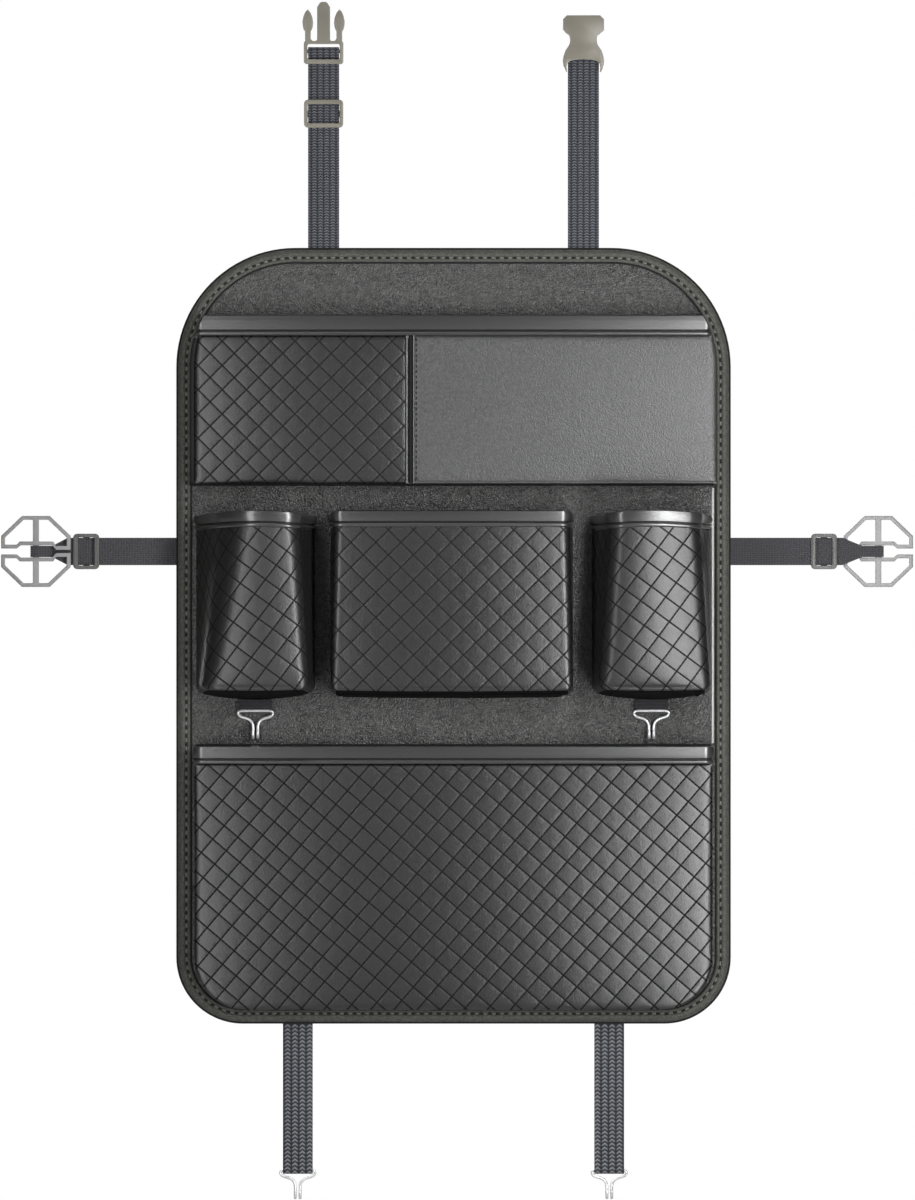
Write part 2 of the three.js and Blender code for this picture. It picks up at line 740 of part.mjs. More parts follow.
// Wire hook: one round wire bent from tip to tip, through the webbing and down into two prongs
function wireHook(x, y, z) {
  const half = hookProngSpread / 2;
  const side = [
    [half, -2 * hookBend, -hookDrop + hookTip],
    [half, -2 * hookBend, -hookDrop + hookTip / 2],
    [half, -2 * hookBend, -hookDrop],
    [half, -hookBend * 1.71, -hookDrop - hookBend * 0.71],
    [half, -hookBend, -hookDrop - hookBend],
    [half, -hookBend * 0.29, -hookDrop - hookBend * 0.71],
    [half, 0, -hookDrop],
    [half, 0, -hookDrop * 0.8],
    [half, 0, -hookDrop * 0.6],
    [half + 0.4, 0, -hookDrop * 0.5],
    [half + 3, 0, -hookDrop * 0.36],
    [hookHalfWidth - 3, 0, -hookDrop * 0.27],
    [hookHalfWidth - 0.4, 0, -hookDrop * 0.2],
    [hookHalfWidth + 0.4, 0, -hookDrop * 0.1],
    [hookHalfWidth - 0.6, 0, -0.2],
    [hookHalfWidth - 2, 0, 0],
    [hookHalfWidth / 2, 0, 0],
  ].map(([across, forward, rise]) => new THREE.Vector3(across, forward, rise));
  const otherSide = side.map(({ x: across, y: forward, z: rise }) =>
    new THREE.Vector3(-across, forward, rise)).reverse();
  const wire = new THREE.CatmullRomCurve3([...side, new THREE.Vector3(0, 0, 0), ...otherSide],
    false, 'centripetal');
  const section = new THREE.Shape().absarc(0, 0, wireDiameter / 2, 0, 2 * Math.PI, false);
  return new THREE.ExtrudeGeometry(section, {
    extrudePath: wire, steps: 30, curveSegments: 3, bevelEnabled: false,
  }).translate(x, y, z);
}

// Bag hooks: short webbing tabs under the cups, each with a wire hook hanging in its loop
['left', 'right'].forEach((name, index) => {
  const side = index === 0 ? -1 : 1;
  const x = side * (cupOuterX - cupWidth / 2);
  const tab = new THREE.Shape();
  tab.moveTo(0, 0);
  tab.lineTo(tabDrop, 0);
  tab.absarc(tabDrop, wireLoopRadius, wireLoopRadius, -Math.PI / 2, Math.PI * 0.75, false);
  tab.lineTo(0, 2 * webbingThickness);
  tab.closePath();
  const bore = new THREE.Path();
  bore.absarc(tabDrop, wireLoopRadius, wireDiameter / 2 + loopClearance, 0, 2 * Math.PI, true);
  tab.holes.push(bore);
  add(`hook_tab_${name}`,
    laidWebbing(tab, tabWidth, new THREE.Vector3(x, panelFront, tabTop), down), webbingCloth);
  add(`front_hook_${name}`, wireHook(x, tabHookY, tabHookZ), brightWire);
});

// Bottom straps, sewn into the panel's lower edge, with a wire hook in each loop
['left', 'right'].forEach((name, index) => {
  const x = (index === 0 ? -1 : 1) * bottomStrapX;
  const start = panelBottom + sewnLength;
  add(`bottom_strap_${name}`, laidWebbing(
    loopedWebbing(start - bottomHookZ, wireDiameter / 2 + loopClearance),
    bottomStrapWidth, new THREE.Vector3(x, webbingBack, start), down,
  ), webbingCloth);
  add(`bottom_hook_${name}`, wireHook(x, bottomHookY, bottomHookZ), brightWire);
});

// Top straps, sewn into the upper edge, with their loops round the bars of the buckle's halves
['left', 'right'].forEach((name, index) => {
  const x = (index === 0 ? -1 : 1) * topStrapX;
  const start = panelTop - topCornerRadius / 4 - sewnLength + clearance;
  add(`top_strap_${name}`, laidWebbing(
    loopedWebbing(buckleBarZ - start, buckleBarRadius + loopClearance),
    topStrapWidth, new THREE.Vector3(x, webbingBack, start), up,
  ), webbingCloth);
});

// Slider: a frame in front of the strap, whose middle bar passes behind the strap
function slider(width, height, strapWidth, barWidth) {
  const half = strapWidth / 2 + clearance;
  const frontBack = webbingFront - clearance;
  const outline = roundCorners(
    rectangle(-half - sliderRail, half + sliderRail, -height / 2, height / 2), 3, true, 3,
  );
  const window = roundCorners(
    rectangle(-half, half, -height / 2 + barWidth, height / 2 - barWidth), 1, true, 1,
  ).reverse();
  const backBarFront = webbingBack + clearance;
  const rails = [-1, 1].map((side) => block(
    side * (half + sliderRail / 2) - sliderRail / 2, side * (half + sliderRail / 2) + sliderRail / 2,
    frontBack - sliderFront / 2, backBarFront + sliderBackBar, -3, 3,
  ));
  const backBar = block(-half - 0.5, half + 0.5, backBarFront, backBarFront + sliderBackBar, -2.4, 2.4);
  return join(plate(outline, frontBack, sliderFront, 0, [window]), ...rails, backBar);
}

const topSlider = slider(30, 21.3, topStrapWidth, 3.4);
add('strap_slider', topSlider.translate(-topStrapX, 0, topSliderZ), khakiPlastic);

// Side release buckle, drawn on its middle line with heights above the bar. The socket half is a
// housing with a sleeve for the prongs, a waist open at both sides, where the barbs latch, and two
// legs beside the webbing with the bar between them.
const buckleFront = buckleBarY - 4.9;
const buckleBack = buckleBarY + 4.4;
const legHalf = topStrapWidth / 2 + 0.7;
const aboveBar = (corners) => corners.map(({ x, y }) => point(x, buckleBarZ + y));
const mirrored = (side) => [...side, ...side.map(({ x, y }) => point(-x, y)).reverse()];
const smooth = (corners, steps) => new THREE.SplineCurve(corners).getPoints(steps);

const housingFlank = smooth([
  point(legHalf + 0.9, -socketLegDrop),
  point(socketHalfWidth - 0.4, -socketLegDrop * 0.72),
  point(socketHalfWidth + 0.1, socketMouth),
  point(socketHalfWidth - 1.9, 0.4),
  point(socketWaist + 0.7, socketWaistHeight - 4),
  point(socketWaist, socketWaistHeight),
  point(socketWaist + 0.4, socketWaistHeight + 3.4),
], 10);
const mouthArch = smooth([
  point(-legHalf, -socketLegDrop), point(-legHalf, socketMouth - 3.4),
  point(-legHalf * 0.72, socketMouth - 0.6), point(0, socketMouth + 0.4),
  point(legHalf * 0.72, socketMouth - 0.6), point(legHalf, socketMouth - 3.4),
  point(legHalf, -socketLegDrop),
], 10);
const housingSide = [
  ...housingFlank,
  point(socketHalfWidth, socketShoulder),
  point(socketHalfWidth, socketHeight - 3),
  point(socketHalfWidth - 3, socketHeight),
];
const sleeveHalf = socketHalfWidth - socketWall;
const socketHousing = cut(
  plate(aboveBar([...mirrored(housingSide), ...mouthArch]), buckleBack, buckleBack - buckleFront),
  block(-legHalf, legHalf, buckleFront + 1.6, buckleBack + 1,
    buckleBarZ - socketLegDrop - 1, buckleBarZ + 5.4),
  block(-sleeveHalf, sleeveHalf, buckleFront + 1.8, buckleBack - 1.8,
    buckleBarZ + socketWaistHeight, buckleBarZ + socketHeight + 1),
);
add('female_buckle', join(
  socketHousing,
  rodAlongX(buckleBarRadius, 2 * legHalf + 1, 0, buckleBarY, buckleBarZ),
).translate(topStrapX, 0, 0), khakiPlastic);

// The prong half is a ladder frame for the webbing, a guide prong and two sprung arms whose heads
// stand out sideways as barbs
const prongBack = buckleBarY + 2.4;
const prongFront = buckleBarY - 2.6;
const prongHeel = prongFrameTop + 0.5;
const armOutside = armInside + armWidth;
const armHead = smooth([
  point(armOutside + 0.1, armBarb - 1.6),
  point(armOutside + 1.4, armBarb + 0.6),
  point(armOutside + 2, armBarb + 6),
  point(armOutside + 0.6, armHeight - 3.4),
  point(armInside + 2.2, armHeight),
  point(armInside - 0.8, armHeight - 4.4),
  point(armInside - 1.9, armBarb + 5),
  point(armInside - 1.2, armBarb + 0.6),
  point(armInside - 0.1, armBarb - 1.6),
], 12);
const prongSide = [
  point(prongFrameHalf - 1.4, prongFrameBottom),
  point(prongFrameHalf, prongFrameBottom + 1.4),
  point(prongFrameHalf, prongFrameTop - 1),
  point(armOutside, prongHeel),
  ...armHead,
  point(armInside, prongHeel + 1.6),
  point(armInside - 1.4, prongHeel),
  point(guideHalf + 0.8, prongHeel),
  point(guideHalf, prongHeel + 1),
  point(guideHalf, guideHeight - 4),
  point(guideHalf - 2, guideHeight - 0.8),
  point(guideHalf - 3.4, guideHeight),
];
const windowHalf = topStrapWidth / 2 + 0.5;
const ladderWindow = roundCorners(
  rectangle(-windowHalf, windowHalf, prongFrameBottom + prongBarWidth, prongFrameTop - 1.8),
  1, true, 1,
).reverse();
const barNotch = block(-windowHalf, windowHalf, buckleBarY + 0.1, prongBack + 1,
  buckleBarZ + prongFrameBottom - 1, buckleBarZ + prongFrameBottom + prongBarWidth + 0.6);
add('male_buckle', join(
  cut(
    plate(aboveBar(mirrored(prongSide)), prongBack, prongBack - prongFront, 0,
      [aboveBar(ladderWindow)]),
    barNotch,
  ),
  rodAlongX(buckleBarRadius, topStrapWidth + 2, 0, buckleBarY, buckleBarZ),
).translate(-topStrapX, 0, 0), khakiPlastic);

// Octagonal clip, drawn with +X away from the panel: a ring, a crossbar for the elastic's loop and
// a channel that is open at the far end and nearly closed at the near one
function octagonalClip() {
  const ring = (grow) => [
    point(clipHalfLength + grow, clipFlatHeight + grow * 0.41),
    point(clipFlatLength + grow * 0.41, clipHalfHeight + grow),
  ];
  const [outerSide, outerTop] = ring(0);
  const [innerSide, innerTop] = ring(-clipBar);
  const flip = (corner, along, high) => point(corner.x * along, corner.y * high);
  const outline = [
    outerSide, outerTop, flip(outerTop, -1, 1), flip(outerSide, -1, 1),
    flip(outerSide, -1, -1), flip(outerTop, -1, -1), flip(outerTop, 1, -1), flip(outerSide, 1, -1),
  ];
  const wide = clipChannel / 2;
  const mouth = clipMouth / 2;
  const slit = clipSlit / 2;
  const farNeck = clipHalfLength * 0.55;
  const nearNeck = -clipHalfLength * 0.58;
  const window = (side, neck, opening) => [
    point(side * clipCrossbar / 2, innerTop.y),
    point(side * innerTop.x, innerTop.y),
    point(side * innerSide.x, innerSide.y),
    point(side * innerSide.x, opening + clipBar),
    point(neck, opening + clipBar),
    point(neck - side * 2.2, wide + clipBar),
    point(side * clipCrossbar / 2, wide + clipBar),
  ];
  const windows = [window(1, farNeck, mouth), window(-1, nearNeck, slit)]
    .flatMap((corners) => [corners, corners.map((corner) => flip(corner, 1, -1))]);
  const channel = (side, neck, opening) => [
    point(side * clipCrossbar / 2, wide),
    point(neck - side * 3, wide),
    point(neck, opening),
    point(side * (clipHalfLength + 1), opening),
    point(side * (clipHalfLength + 1), -opening),
    point(neck, -opening),
    point(neck - side * 3, -wide),
    point(side * clipCrossbar / 2, -wide),
  ];
  const depth = clipThickness;
  return cut(
    plate(outline, 0, depth),
    ...windows.map((hole) => plate(hole, 1, depth + 2)),
    plate(channel(1, farNeck, mouth), 1, depth + 2),
    plate(channel(-1, nearNeck, slit), 1, depth + 2),
  );
}

// Side elastics: the band lies flat, narrows past the slider and loops round the clip's crossbar.
// The left clip's channel walls lie in front of the band and the right one's behind it.
['left', 'right'].forEach((name, index) => {
  const side = index === 0 ? -1 : 1;
  const inFront = index === 0;
  const crossbarX = panelSide + clipReach[name];
  const start = panelSide - sewnLength;
  const along = crossbarX - start;
  const shape = new THREE.Shape();
  const walls = inFront ? 2 * webbingThickness + clearance : -clearance - clipThickness;
  const barBack = walls;
  const barFront = walls + clipThickness;
  const loopNear = along - clipCrossbar / 2 - loopClearance;
  const loopFar = along + clipCrossbar / 2 + loopClearance;
  const neckStart = along - clipHalfLength * 0.58 + 4;
  const single = sideSliderReach[name] + sewnLength + 12;
  const loopBack = barBack - loopClearance;
  const loopFront = barFront + loopClearance;
  const loopEnd = loopFar + webbingThickness;
  const [backSlant, frontSlant] = inFront ? [0, 1] : [1, 0];
  shape.setFromPoints([
    point(0, 0), point(neckStart - 0.6 * backSlant, 0),
    point(loopNear - backSlant, loopBack - webbingThickness),
    point(loopEnd, loopBack - webbingThickness),
    point(loopEnd, loopFront + webbingThickness),
    point(loopNear - frontSlant, loopFront + webbingThickness),
    point(neckStart - 0.6 * frontSlant, 2 * webbingThickness), point(single, 2 * webbingThickness),
    point(single - webbingThickness, webbingThickness), point(0, webbingThickness),
  ]);
  shape.holes.push(new THREE.Path(rectangle(loopNear, loopFar, loopBack, loopFront)));
  const half = elasticWidth / 2;
  const neckHalf = elasticNeckWidth / 2;
  const taperStart = sideSliderReach[name] + sewnLength + 14;
  const plan = [
    point(-1, -half), point(taperStart, -half), point(neckStart - 1, -neckHalf),
    point(along + 12, -neckHalf), point(along + 12, neckHalf), point(neckStart - 1, neckHalf),
    point(taperStart, half), point(-1, half),
  ].map(({ x, y }) => point(side * (start + x), elasticZ + y));
  const outline = side === 1 ? plan : plan.reverse();
  add(`side_strap_${name}`, keepInside(
    laidWebbing(shape, elasticWidth, new THREE.Vector3(side * start, webbingBack, elasticZ),
      outward(side)),
    plate(outline, webbingBack + 20, 40),
  ), elasticCloth);
  const clip = octagonalClip();
  if (side === -1) clip.rotateY(Math.PI);
  add(`side_clip_${name}`,
    clip.translate(side * crossbarX, webbingBack - barBack, elasticZ), greyPlastic);
  add(`side_slider_${name}`, slider(28, 19.8, elasticWidth, 3.6)
    .rotateY(Math.PI / 2)
    .translate(side * (panelSide + sideSliderReach[name]), 0, elasticZ), darkPlastic);
});

export default organizer;
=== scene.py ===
"""Looks of a car seat back organizer: a leather panel with quilted pockets, cups, hooks and straps."""
import math
import bpy
from mathutils import Matrix, Vector


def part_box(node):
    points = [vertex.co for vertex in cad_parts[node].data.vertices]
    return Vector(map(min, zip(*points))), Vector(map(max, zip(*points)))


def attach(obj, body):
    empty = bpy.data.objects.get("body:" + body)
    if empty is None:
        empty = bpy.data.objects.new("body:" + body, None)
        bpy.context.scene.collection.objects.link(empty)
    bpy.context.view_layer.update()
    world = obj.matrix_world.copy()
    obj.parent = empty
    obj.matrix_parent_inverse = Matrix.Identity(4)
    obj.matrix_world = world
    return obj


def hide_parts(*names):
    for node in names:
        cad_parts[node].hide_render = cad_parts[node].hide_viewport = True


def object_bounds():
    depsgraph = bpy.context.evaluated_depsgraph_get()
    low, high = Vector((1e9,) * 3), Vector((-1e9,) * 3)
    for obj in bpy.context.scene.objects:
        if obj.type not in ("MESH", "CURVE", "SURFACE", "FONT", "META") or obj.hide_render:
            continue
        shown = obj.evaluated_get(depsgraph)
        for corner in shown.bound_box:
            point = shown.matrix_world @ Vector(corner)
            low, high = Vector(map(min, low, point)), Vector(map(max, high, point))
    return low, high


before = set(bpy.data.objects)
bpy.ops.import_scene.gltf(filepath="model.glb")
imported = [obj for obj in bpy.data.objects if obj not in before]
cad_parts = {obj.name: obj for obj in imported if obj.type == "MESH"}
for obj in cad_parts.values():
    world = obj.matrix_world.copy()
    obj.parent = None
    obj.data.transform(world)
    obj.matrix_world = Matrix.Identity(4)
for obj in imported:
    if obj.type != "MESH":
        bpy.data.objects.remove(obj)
cad_low, cad_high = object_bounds()


# Camera and light
# The photograph looks straight at the panel from far away. One of its pixels is 0.7595 mm on the
# panel, and the panel's middle lies at (453.5, 635.75) in its 915 by 1200 frame.
PIXEL = 0.0007595
PHOTO_WIDTH, PHOTO_HEIGHT = 915, 1200
PANEL_MIDDLE = (453.5, 635.75)
CAMERA_DISTANCE = 8.0
SENSOR = 36.0


def from_photo(column, row):
    """X and Z on the panel, in metres, of a pixel of the photograph."""
    return (column - PANEL_MIDDLE[0]) * PIXEL, (PANEL_MIDDLE[1] - row) * PIXEL


def aimed(thing, target):
    thing.rotation_euler = (Vector(target) - thing.location).to_track_quat("-Z", "Y").to_euler()


view_x, view_z = from_photo(PHOTO_WIDTH / 2, PHOTO_HEIGHT / 2)
bpy.ops.object.camera_add(location=(view_x, -CAMERA_DISTANCE, view_z), rotation=(math.pi / 2, 0, 0))
camera = bpy.context.object
camera.data.sensor_width = SENSOR
camera.data.lens = SENSOR * CAMERA_DISTANCE / (PHOTO_HEIGHT * PIXEL)
bpy.context.scene.camera = camera

# Tall soft boxes stand close on both sides, the right one stronger, so that the satin leather is
# dark in the middle and brightens towards its edges, as in the photograph. Each lamp has its place,
# its width and height, and its watts.
LAMPS = {
    "key": ((0.36, -0.70, 0.02), (0.12, 1.10), 7.6),
    "fill": ((-0.32, -0.55, 0.02), (0.12, 1.10), 2.1),
    "top": ((0.05, -0.80, 1.50), (1.10, 0.60), 3.0),
    "back": ((-0.6, 2.2, 0.9), (1.6, 1.6), 40.0),
}
for name, (place, (width, tall), watts) in LAMPS.items():
    bpy.ops.object.light_add(type="AREA", location=place)
    lamp = bpy.context.object
    lamp.name = name + "_lamp"
    lamp.data.shape = "RECTANGLE"
    lamp.data.size, lamp.data.size_y = width, tall
    lamp.data.energy = watts
    lamp.visible_camera = False
    aimed(lamp, (0, 0, 0))

scene = bpy.context.scene
scene.view_settings.view_transform = "Standard"


def wire_up(tree, kind, inputs=None, **settings):
    """A new node with its settings, whose inputs are values or other nodes' outputs."""
    made = tree.nodes.new(kind)
    for key, value in settings.items():
        setattr(made, key, value)
    for key, value in (inputs or {}).items():
        if isinstance(value, bpy.types.NodeSocket):
            tree.links.new(value, made.inputs[key])
        else:
            made.inputs[key].default_value = value
    return made


def math_node(tree, operation, first, second=0.0):
    return wire_up(tree, "ShaderNodeMath", {0: first, 1: second}, operation=operation).outputs[0]


def remap(tree, value, low, high, to_low=0.0, to_high=1.0):
    return wire_up(tree, "ShaderNodeMapRange", {
        "Value": value, "From Min": low, "From Max": high, "To Min": to_low, "To Max": to_high,
    }).outputs[0]


def seen_white(tree, mirrored):
    """1 where the camera meets the backdrop, and mirrored where a mirror image or a clear ray does."""
    rays = wire_up(tree, "ShaderNodeLightPath").outputs
    image = math_node(tree, "MAXIMUM", rays["Is Glossy Ray"], rays["Is Transmission Ray"])
    return math_node(tree, "MAXIMUM", rays["Is Camera Ray"], math_node(tree, "MULTIPLY", image, mirrored))


# The white backdrop stands behind the organizer, and the room on the camera's side is dim.
world = bpy.data.worlds.new("white_studio")
scene.world = world
world.use_nodes = True
tree = world.node_tree
tree.nodes.clear()
ROOM_LIGHT = 0.06
room = wire_up(tree, "ShaderNodeBackground", {"Color": (1, 1, 1, 1), "Strength": ROOM_LIGHT})
white = wire_up(tree, "ShaderNodeBackground", {"Color": (1, 1, 1, 1), "Strength": 1.0})
heading = wire_up(tree, "ShaderNodeTexCoord").outputs["Generated"]
depth = wire_up(tree, "ShaderNodeSeparateXYZ", {0: heading}).outputs[1]
mix = wire_up(tree, "ShaderNodeMixShader", {
    0: seen_white(tree, remap(tree, depth, 0.75, 0.95)), 1: room.outputs[0], 2: white.outputs[0],
})
wire_up(tree, "ShaderNodeOutputWorld", {"Surface": mix.outputs[0]})

# The floor looks white to the camera, dim in the leather's mirror images, and throws little light.
FLOOR_SIZE, FLOOR_DROP = 8, 0.35
FLOOR_GLOW, FLOOR_MIRRORED = 0.85, 0.1
bpy.ops.mesh.primitive_plane_add(size=FLOOR_SIZE, location=(0, 0, cad_low.z - FLOOR_DROP))
floor = bpy.context.object
floor.name = "studio_floor"
floor_paint = bpy.data.materials.new("studio_floor")
floor_paint.use_nodes = True
tree = floor_paint.node_tree
tree.nodes.clear()
matt = wire_up(tree, "ShaderNodeBsdfDiffuse", {"Color": (0.6, 0.6, 0.6, 1)})
glow = wire_up(tree, "ShaderNodeEmission", {"Color": (1, 1, 1, 1), "Strength": 1.0})
share = math_node(tree, "MULTIPLY", seen_white(tree, FLOOR_MIRRORED), FLOOR_GLOW)
mix = wire_up(tree, "ShaderNodeMixShader", {0: share, 1: matt.outputs[0], 2: glow.outputs[0]})
wire_up(tree, "ShaderNodeOutputMaterial", {"Surface": mix.outputs[0]})
floor.data.materials.append(floor_paint)


# Base panel
# A stiff board under grained artificial leather, whose pebbles catch the light as coarse specks.
# The edge binding is sewn over its rim.
def shader_group(name, inputs, outputs):
    """An empty shader node group with float or vector inputs, its inlet and its outlet."""
    group = bpy.data.node_groups.new(name, "ShaderNodeTree")
    for key, value in inputs.items():
        kind = "NodeSocketVector" if value is None else "NodeSocketFloat"
        socket = group.interface.new_socket(key, in_out="INPUT", socket_type=kind)
        if value is not None:
            socket.default_value = value
    for key in outputs:
        group.interface.new_socket(key, in_out="OUTPUT", socket_type="NodeSocketFloat")
    return group, group.nodes.new("NodeGroupInput").outputs, group.nodes.new("NodeGroupOutput").inputs


def noise(tree, place, scale, detail=2.0):
    inputs = {"Vector": place, "Scale": scale, "Detail": detail}
    return wire_up(tree, "ShaderNodeTexNoise", inputs).outputs[0]


# Pebbles are rounded cells, made uneven by wider clouds. Their tone mixes these clouds with finer ones.
pebbles, inlet, outlet = shader_group(
    "leather_pebbles", {"Vector": None, "Per metre": 900.0}, ["Height", "Tone"])
cells = wire_up(pebbles, "ShaderNodeTexVoronoi", {
    "Vector": inlet["Vector"], "Scale": inlet["Per metre"], "Randomness": 1.0,
}, feature="SMOOTH_F1")
wide = wire_up(pebbles, "ShaderNodeTexNoise", {
    "Vector": inlet["Vector"], "Scale": math_node(pebbles, "MULTIPLY", inlet["Per metre"], 0.37),
    "Detail": 3.0, "Roughness": 0.6,
}).outputs[0]
fine = noise(pebbles, inlet["Vector"], math_node(pebbles, "MULTIPLY", inlet["Per metre"], 1.9))
bump = math_node(pebbles, "SUBTRACT", 1.0, cells.outputs["Distance"])
height = math_node(pebbles, "ADD", bump, math_node(pebbles, "MULTIPLY", wide, 0.5))
pebbles.links.new(height, outlet["Height"])
tone = math_node(pebbles, "ADD", math_node(pebbles, "MULTIPLY", wide, 0.35),
                 math_node(pebbles, "MULTIPLY", fine, 0.65))
pebbles.links.new(tone, outlet["Tone"])


def place_group(tree, group, inputs):
    return wire_up(tree, "ShaderNodeGroup", inputs, node_tree=group).outputs


def new_material(name, constants=None):
    """A material with only its Principled shader, its node tree and the shader's inputs."""
    made = bpy.data.materials.new(name)
    made.use_nodes = True
    tree = made.node_tree
    tree.nodes.clear()
    shader = wire_up(tree, "ShaderNodeBsdfPrincipled", constants)
    wire_up(tree, "ShaderNodeOutputMaterial", {"Surface": shader.outputs[0]})
    return made, tree, shader.inputs


def object_place(tree):
    return wire_up(tree, "ShaderNodeTexCoord").outputs["Object"]


def blend_colour(tree, factor, dark, light):
    """Dark where the factor is 0 and light where it is 1. Each is a colour or a node's output."""
    ends = [end if isinstance(end, bpy.types.NodeSocket) else (*end, 1) for end in (dark, light)]
    inputs = {"Factor": factor, 6: ends[0], 7: ends[1]}
    return wire_up(tree, "ShaderNodeMix", inputs, data_type="RGBA").outputs[2]


def raised(tree, height, distance, strength, under=None):
    """A bump's normal, laid over the normal under it."""
    inputs = {"Height": height, "Distance": distance, "Strength": strength}
    if under is not None:
        inputs["Normal"] = under
    return wire_up(tree, "ShaderNodeBump", inputs).outputs[0]


def grained_leather(name, dark, light, per_metre, depth, rough, gloss=0.5):
    """Leather with per_metre pebbles a metre, depth high, whose tone runs from dark to light."""
    material, tree, shader = new_material(name, {"Specular IOR Level": gloss})
    grain = place_group(tree, pebbles, {"Vector": object_place(tree), "Per metre": per_metre})
    tone = remap(tree, grain["Tone"], 0.42, 0.6)
    tree.links.new(blend_colour(tree, tone, dark, light), shader["Base Color"])
    tree.links.new(remap(tree, grain["Tone"], 0.3, 0.7, rough - 0.07, rough + 0.09), shader["Roughness"])
    tree.links.new(raised(tree, grain["Height"], depth, 0.8), shader["Normal"])
    return material


def repaint(node, material):
    """A CAD node keeps its mesh and takes a new finish."""
    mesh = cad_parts[node].data
    mesh.materials.clear()
    mesh.materials.append(material)


PANEL_DARK, PANEL_LIGHT = (0.002, 0.002, 0.002), (0.078, 0.078, 0.075)
panel_leather = grained_leather("panel_leather", PANEL_DARK, PANEL_LIGHT, 900, 0.0013, 0.42, gloss=0.8)
repaint("base_panel", panel_leather)


# Back lining
# A thin woven cloth glued to the board's back, its edge caught under the binding.
lining_weave, inlet, outlet = shader_group("plain_weave", {"Vector": None, "Per metre": 1000.0}, ["Height"])
scaled = wire_up(lining_weave, "ShaderNodeVectorMath", {
    0: inlet["Vector"], "Scale": math_node(lining_weave, "MULTIPLY", inlet["Per metre"], math.pi),
}, operation="SCALE").outputs[0]
parts = wire_up(lining_weave, "ShaderNodeSeparateXYZ", {0: scaled}).outputs
threads = math_node(lining_weave, "MULTIPLY", math_node(lining_weave, "SINE", parts[0]),
                    math_node(lining_weave, "SINE", parts[2]))
lining_weave.links.new(math_node(lining_weave, "ABSOLUTE", threads), outlet["Height"])


def woven_cloth(name, dark, light, per_metre, depth):
    material, tree, shader = new_material(name, {"Roughness": 0.9})
    weave = place_group(tree, lining_weave, {"Vector": object_place(tree), "Per metre": per_metre})["Height"]
    tree.links.new(blend_colour(tree, weave, dark, light), shader["Base Color"])
    tree.links.new(raised(tree, weave, depth, 0.6), shader["Normal"])
    return material


repaint("back_lining", woven_cloth("lining_cloth", (0.012, 0.012, 0.013), (0.035, 0.035, 0.037), 900, 0.0002))


# Edge binding
# A folded tape of matt olive-grey leather cloth round the panel's edge, sewn through with one row of
# olive thread between needle holes painted dark as shade. It is a round-edged band with a dip where
# the thread pulls it down.
BODY = "organizer"
panel_low, panel_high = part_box("edge_binding")
panel_front, binding_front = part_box("base_panel")[0].y, panel_low.y
TOP_RADIUS, BOTTOM_RADIUS = 0.090, 0.050
BINDING_WIDTH = 0.0105
STITCH_INSET, STITCH_PITCH = 0.0072, 0.0064
LINING = 0.0008
CORNER_STEPS = 24


def panel_outline(inset=0.0):
    """The panel's outline this far in from its edge, counter-clockwise from the lower left."""
    left, right = panel_low.x + inset, panel_high.x - inset
    bottom, top = panel_low.z + inset, panel_high.z - inset
    low_radius, high_radius = BOTTOM_RADIUS - inset, TOP_RADIUS - inset
    outline = []
    for x, z, radius, start in (
        (left + low_radius, bottom + low_radius, low_radius, 180),
        (right - low_radius, bottom + low_radius, low_radius, 270),
        (right - high_radius, top - high_radius, high_radius, 0),
        (left + high_radius, top - high_radius, high_radius, 90),
    ):
        for step in range(CORNER_STEPS + 1):
            angle = math.radians(start + 90 * step / CORNER_STEPS)
            outline.append(Vector((x + radius * math.cos(angle), z + radius * math.sin(angle))))
    return outline


def add_object(name, data):
    thing = bpy.data.objects.new(name, data)
    bpy.context.collection.objects.link(thing)
    return thing


def curve_line(name, places, closed, dimensions):
    """A curve's data with one straight-edged line through these places."""
    data = bpy.data.curves.new(name, "CURVE")
    data.dimensions = dimensions
    spline = data.splines.new("POLY")
    spline.points.add(len(places) - 1)
    for spot, place in zip(spline.points, places):
        spot.co = (*Vector(place).to_3d(), 1)
    spline.use_cyclic_u = closed
    return data


def as_mesh(thing):
    select_only(thing)
    bpy.ops.object.convert(target="MESH")
    return bpy.context.object


def swept(name, path, section, closed, upright=False):
    """A band with this section along a flat path. Section x is sideways to the walk's right, y is up.
    Upright paths are drawn in X and Z, with the section's y towards the front. Blender turns a closed
    path's section round, so it is drawn turned."""
    data = curve_line(name, path, closed, "2D")
    drawn = [(-x if closed else x, y) for x, y in section]
    profile = add_object(name + "_section", curve_line(name + "_section", drawn, True, "2D"))
    data.fill_mode = profile.data.fill_mode = "NONE"
    data.bevel_mode = "OBJECT"
    data.bevel_object = profile
    data.use_fill_caps = not closed
    band = as_mesh(add_object(name, data))
    if upright:
        band.rotation_euler = (math.pi / 2, 0, 0)
        bpy.ops.object.transform_apply(location=True, rotation=True, scale=True)
    bpy.data.objects.remove(profile)
    tidy_mesh(band)
    return band


def select_only(thing):
    bpy.ops.object.select_all(action="DESELECT")
    thing.select_set(True)
    bpy.context.view_layer.objects.active = thing


def edit_all(thing):
    """Edit mode with the whole mesh selected."""
    select_only(thing)
    bpy.ops.object.mode_set(mode="EDIT")
    bpy.ops.mesh.select_all(action="SELECT")


def tidy_mesh(thing, merge=0.00001):
    """Doubles merged and all normals turned outwards."""
    edit_all(thing)
    bpy.ops.mesh.remove_doubles(threshold=merge)
    bpy.ops.mesh.normals_make_consistent(inside=False)
    bpy.ops.object.mode_set(mode="OBJECT")


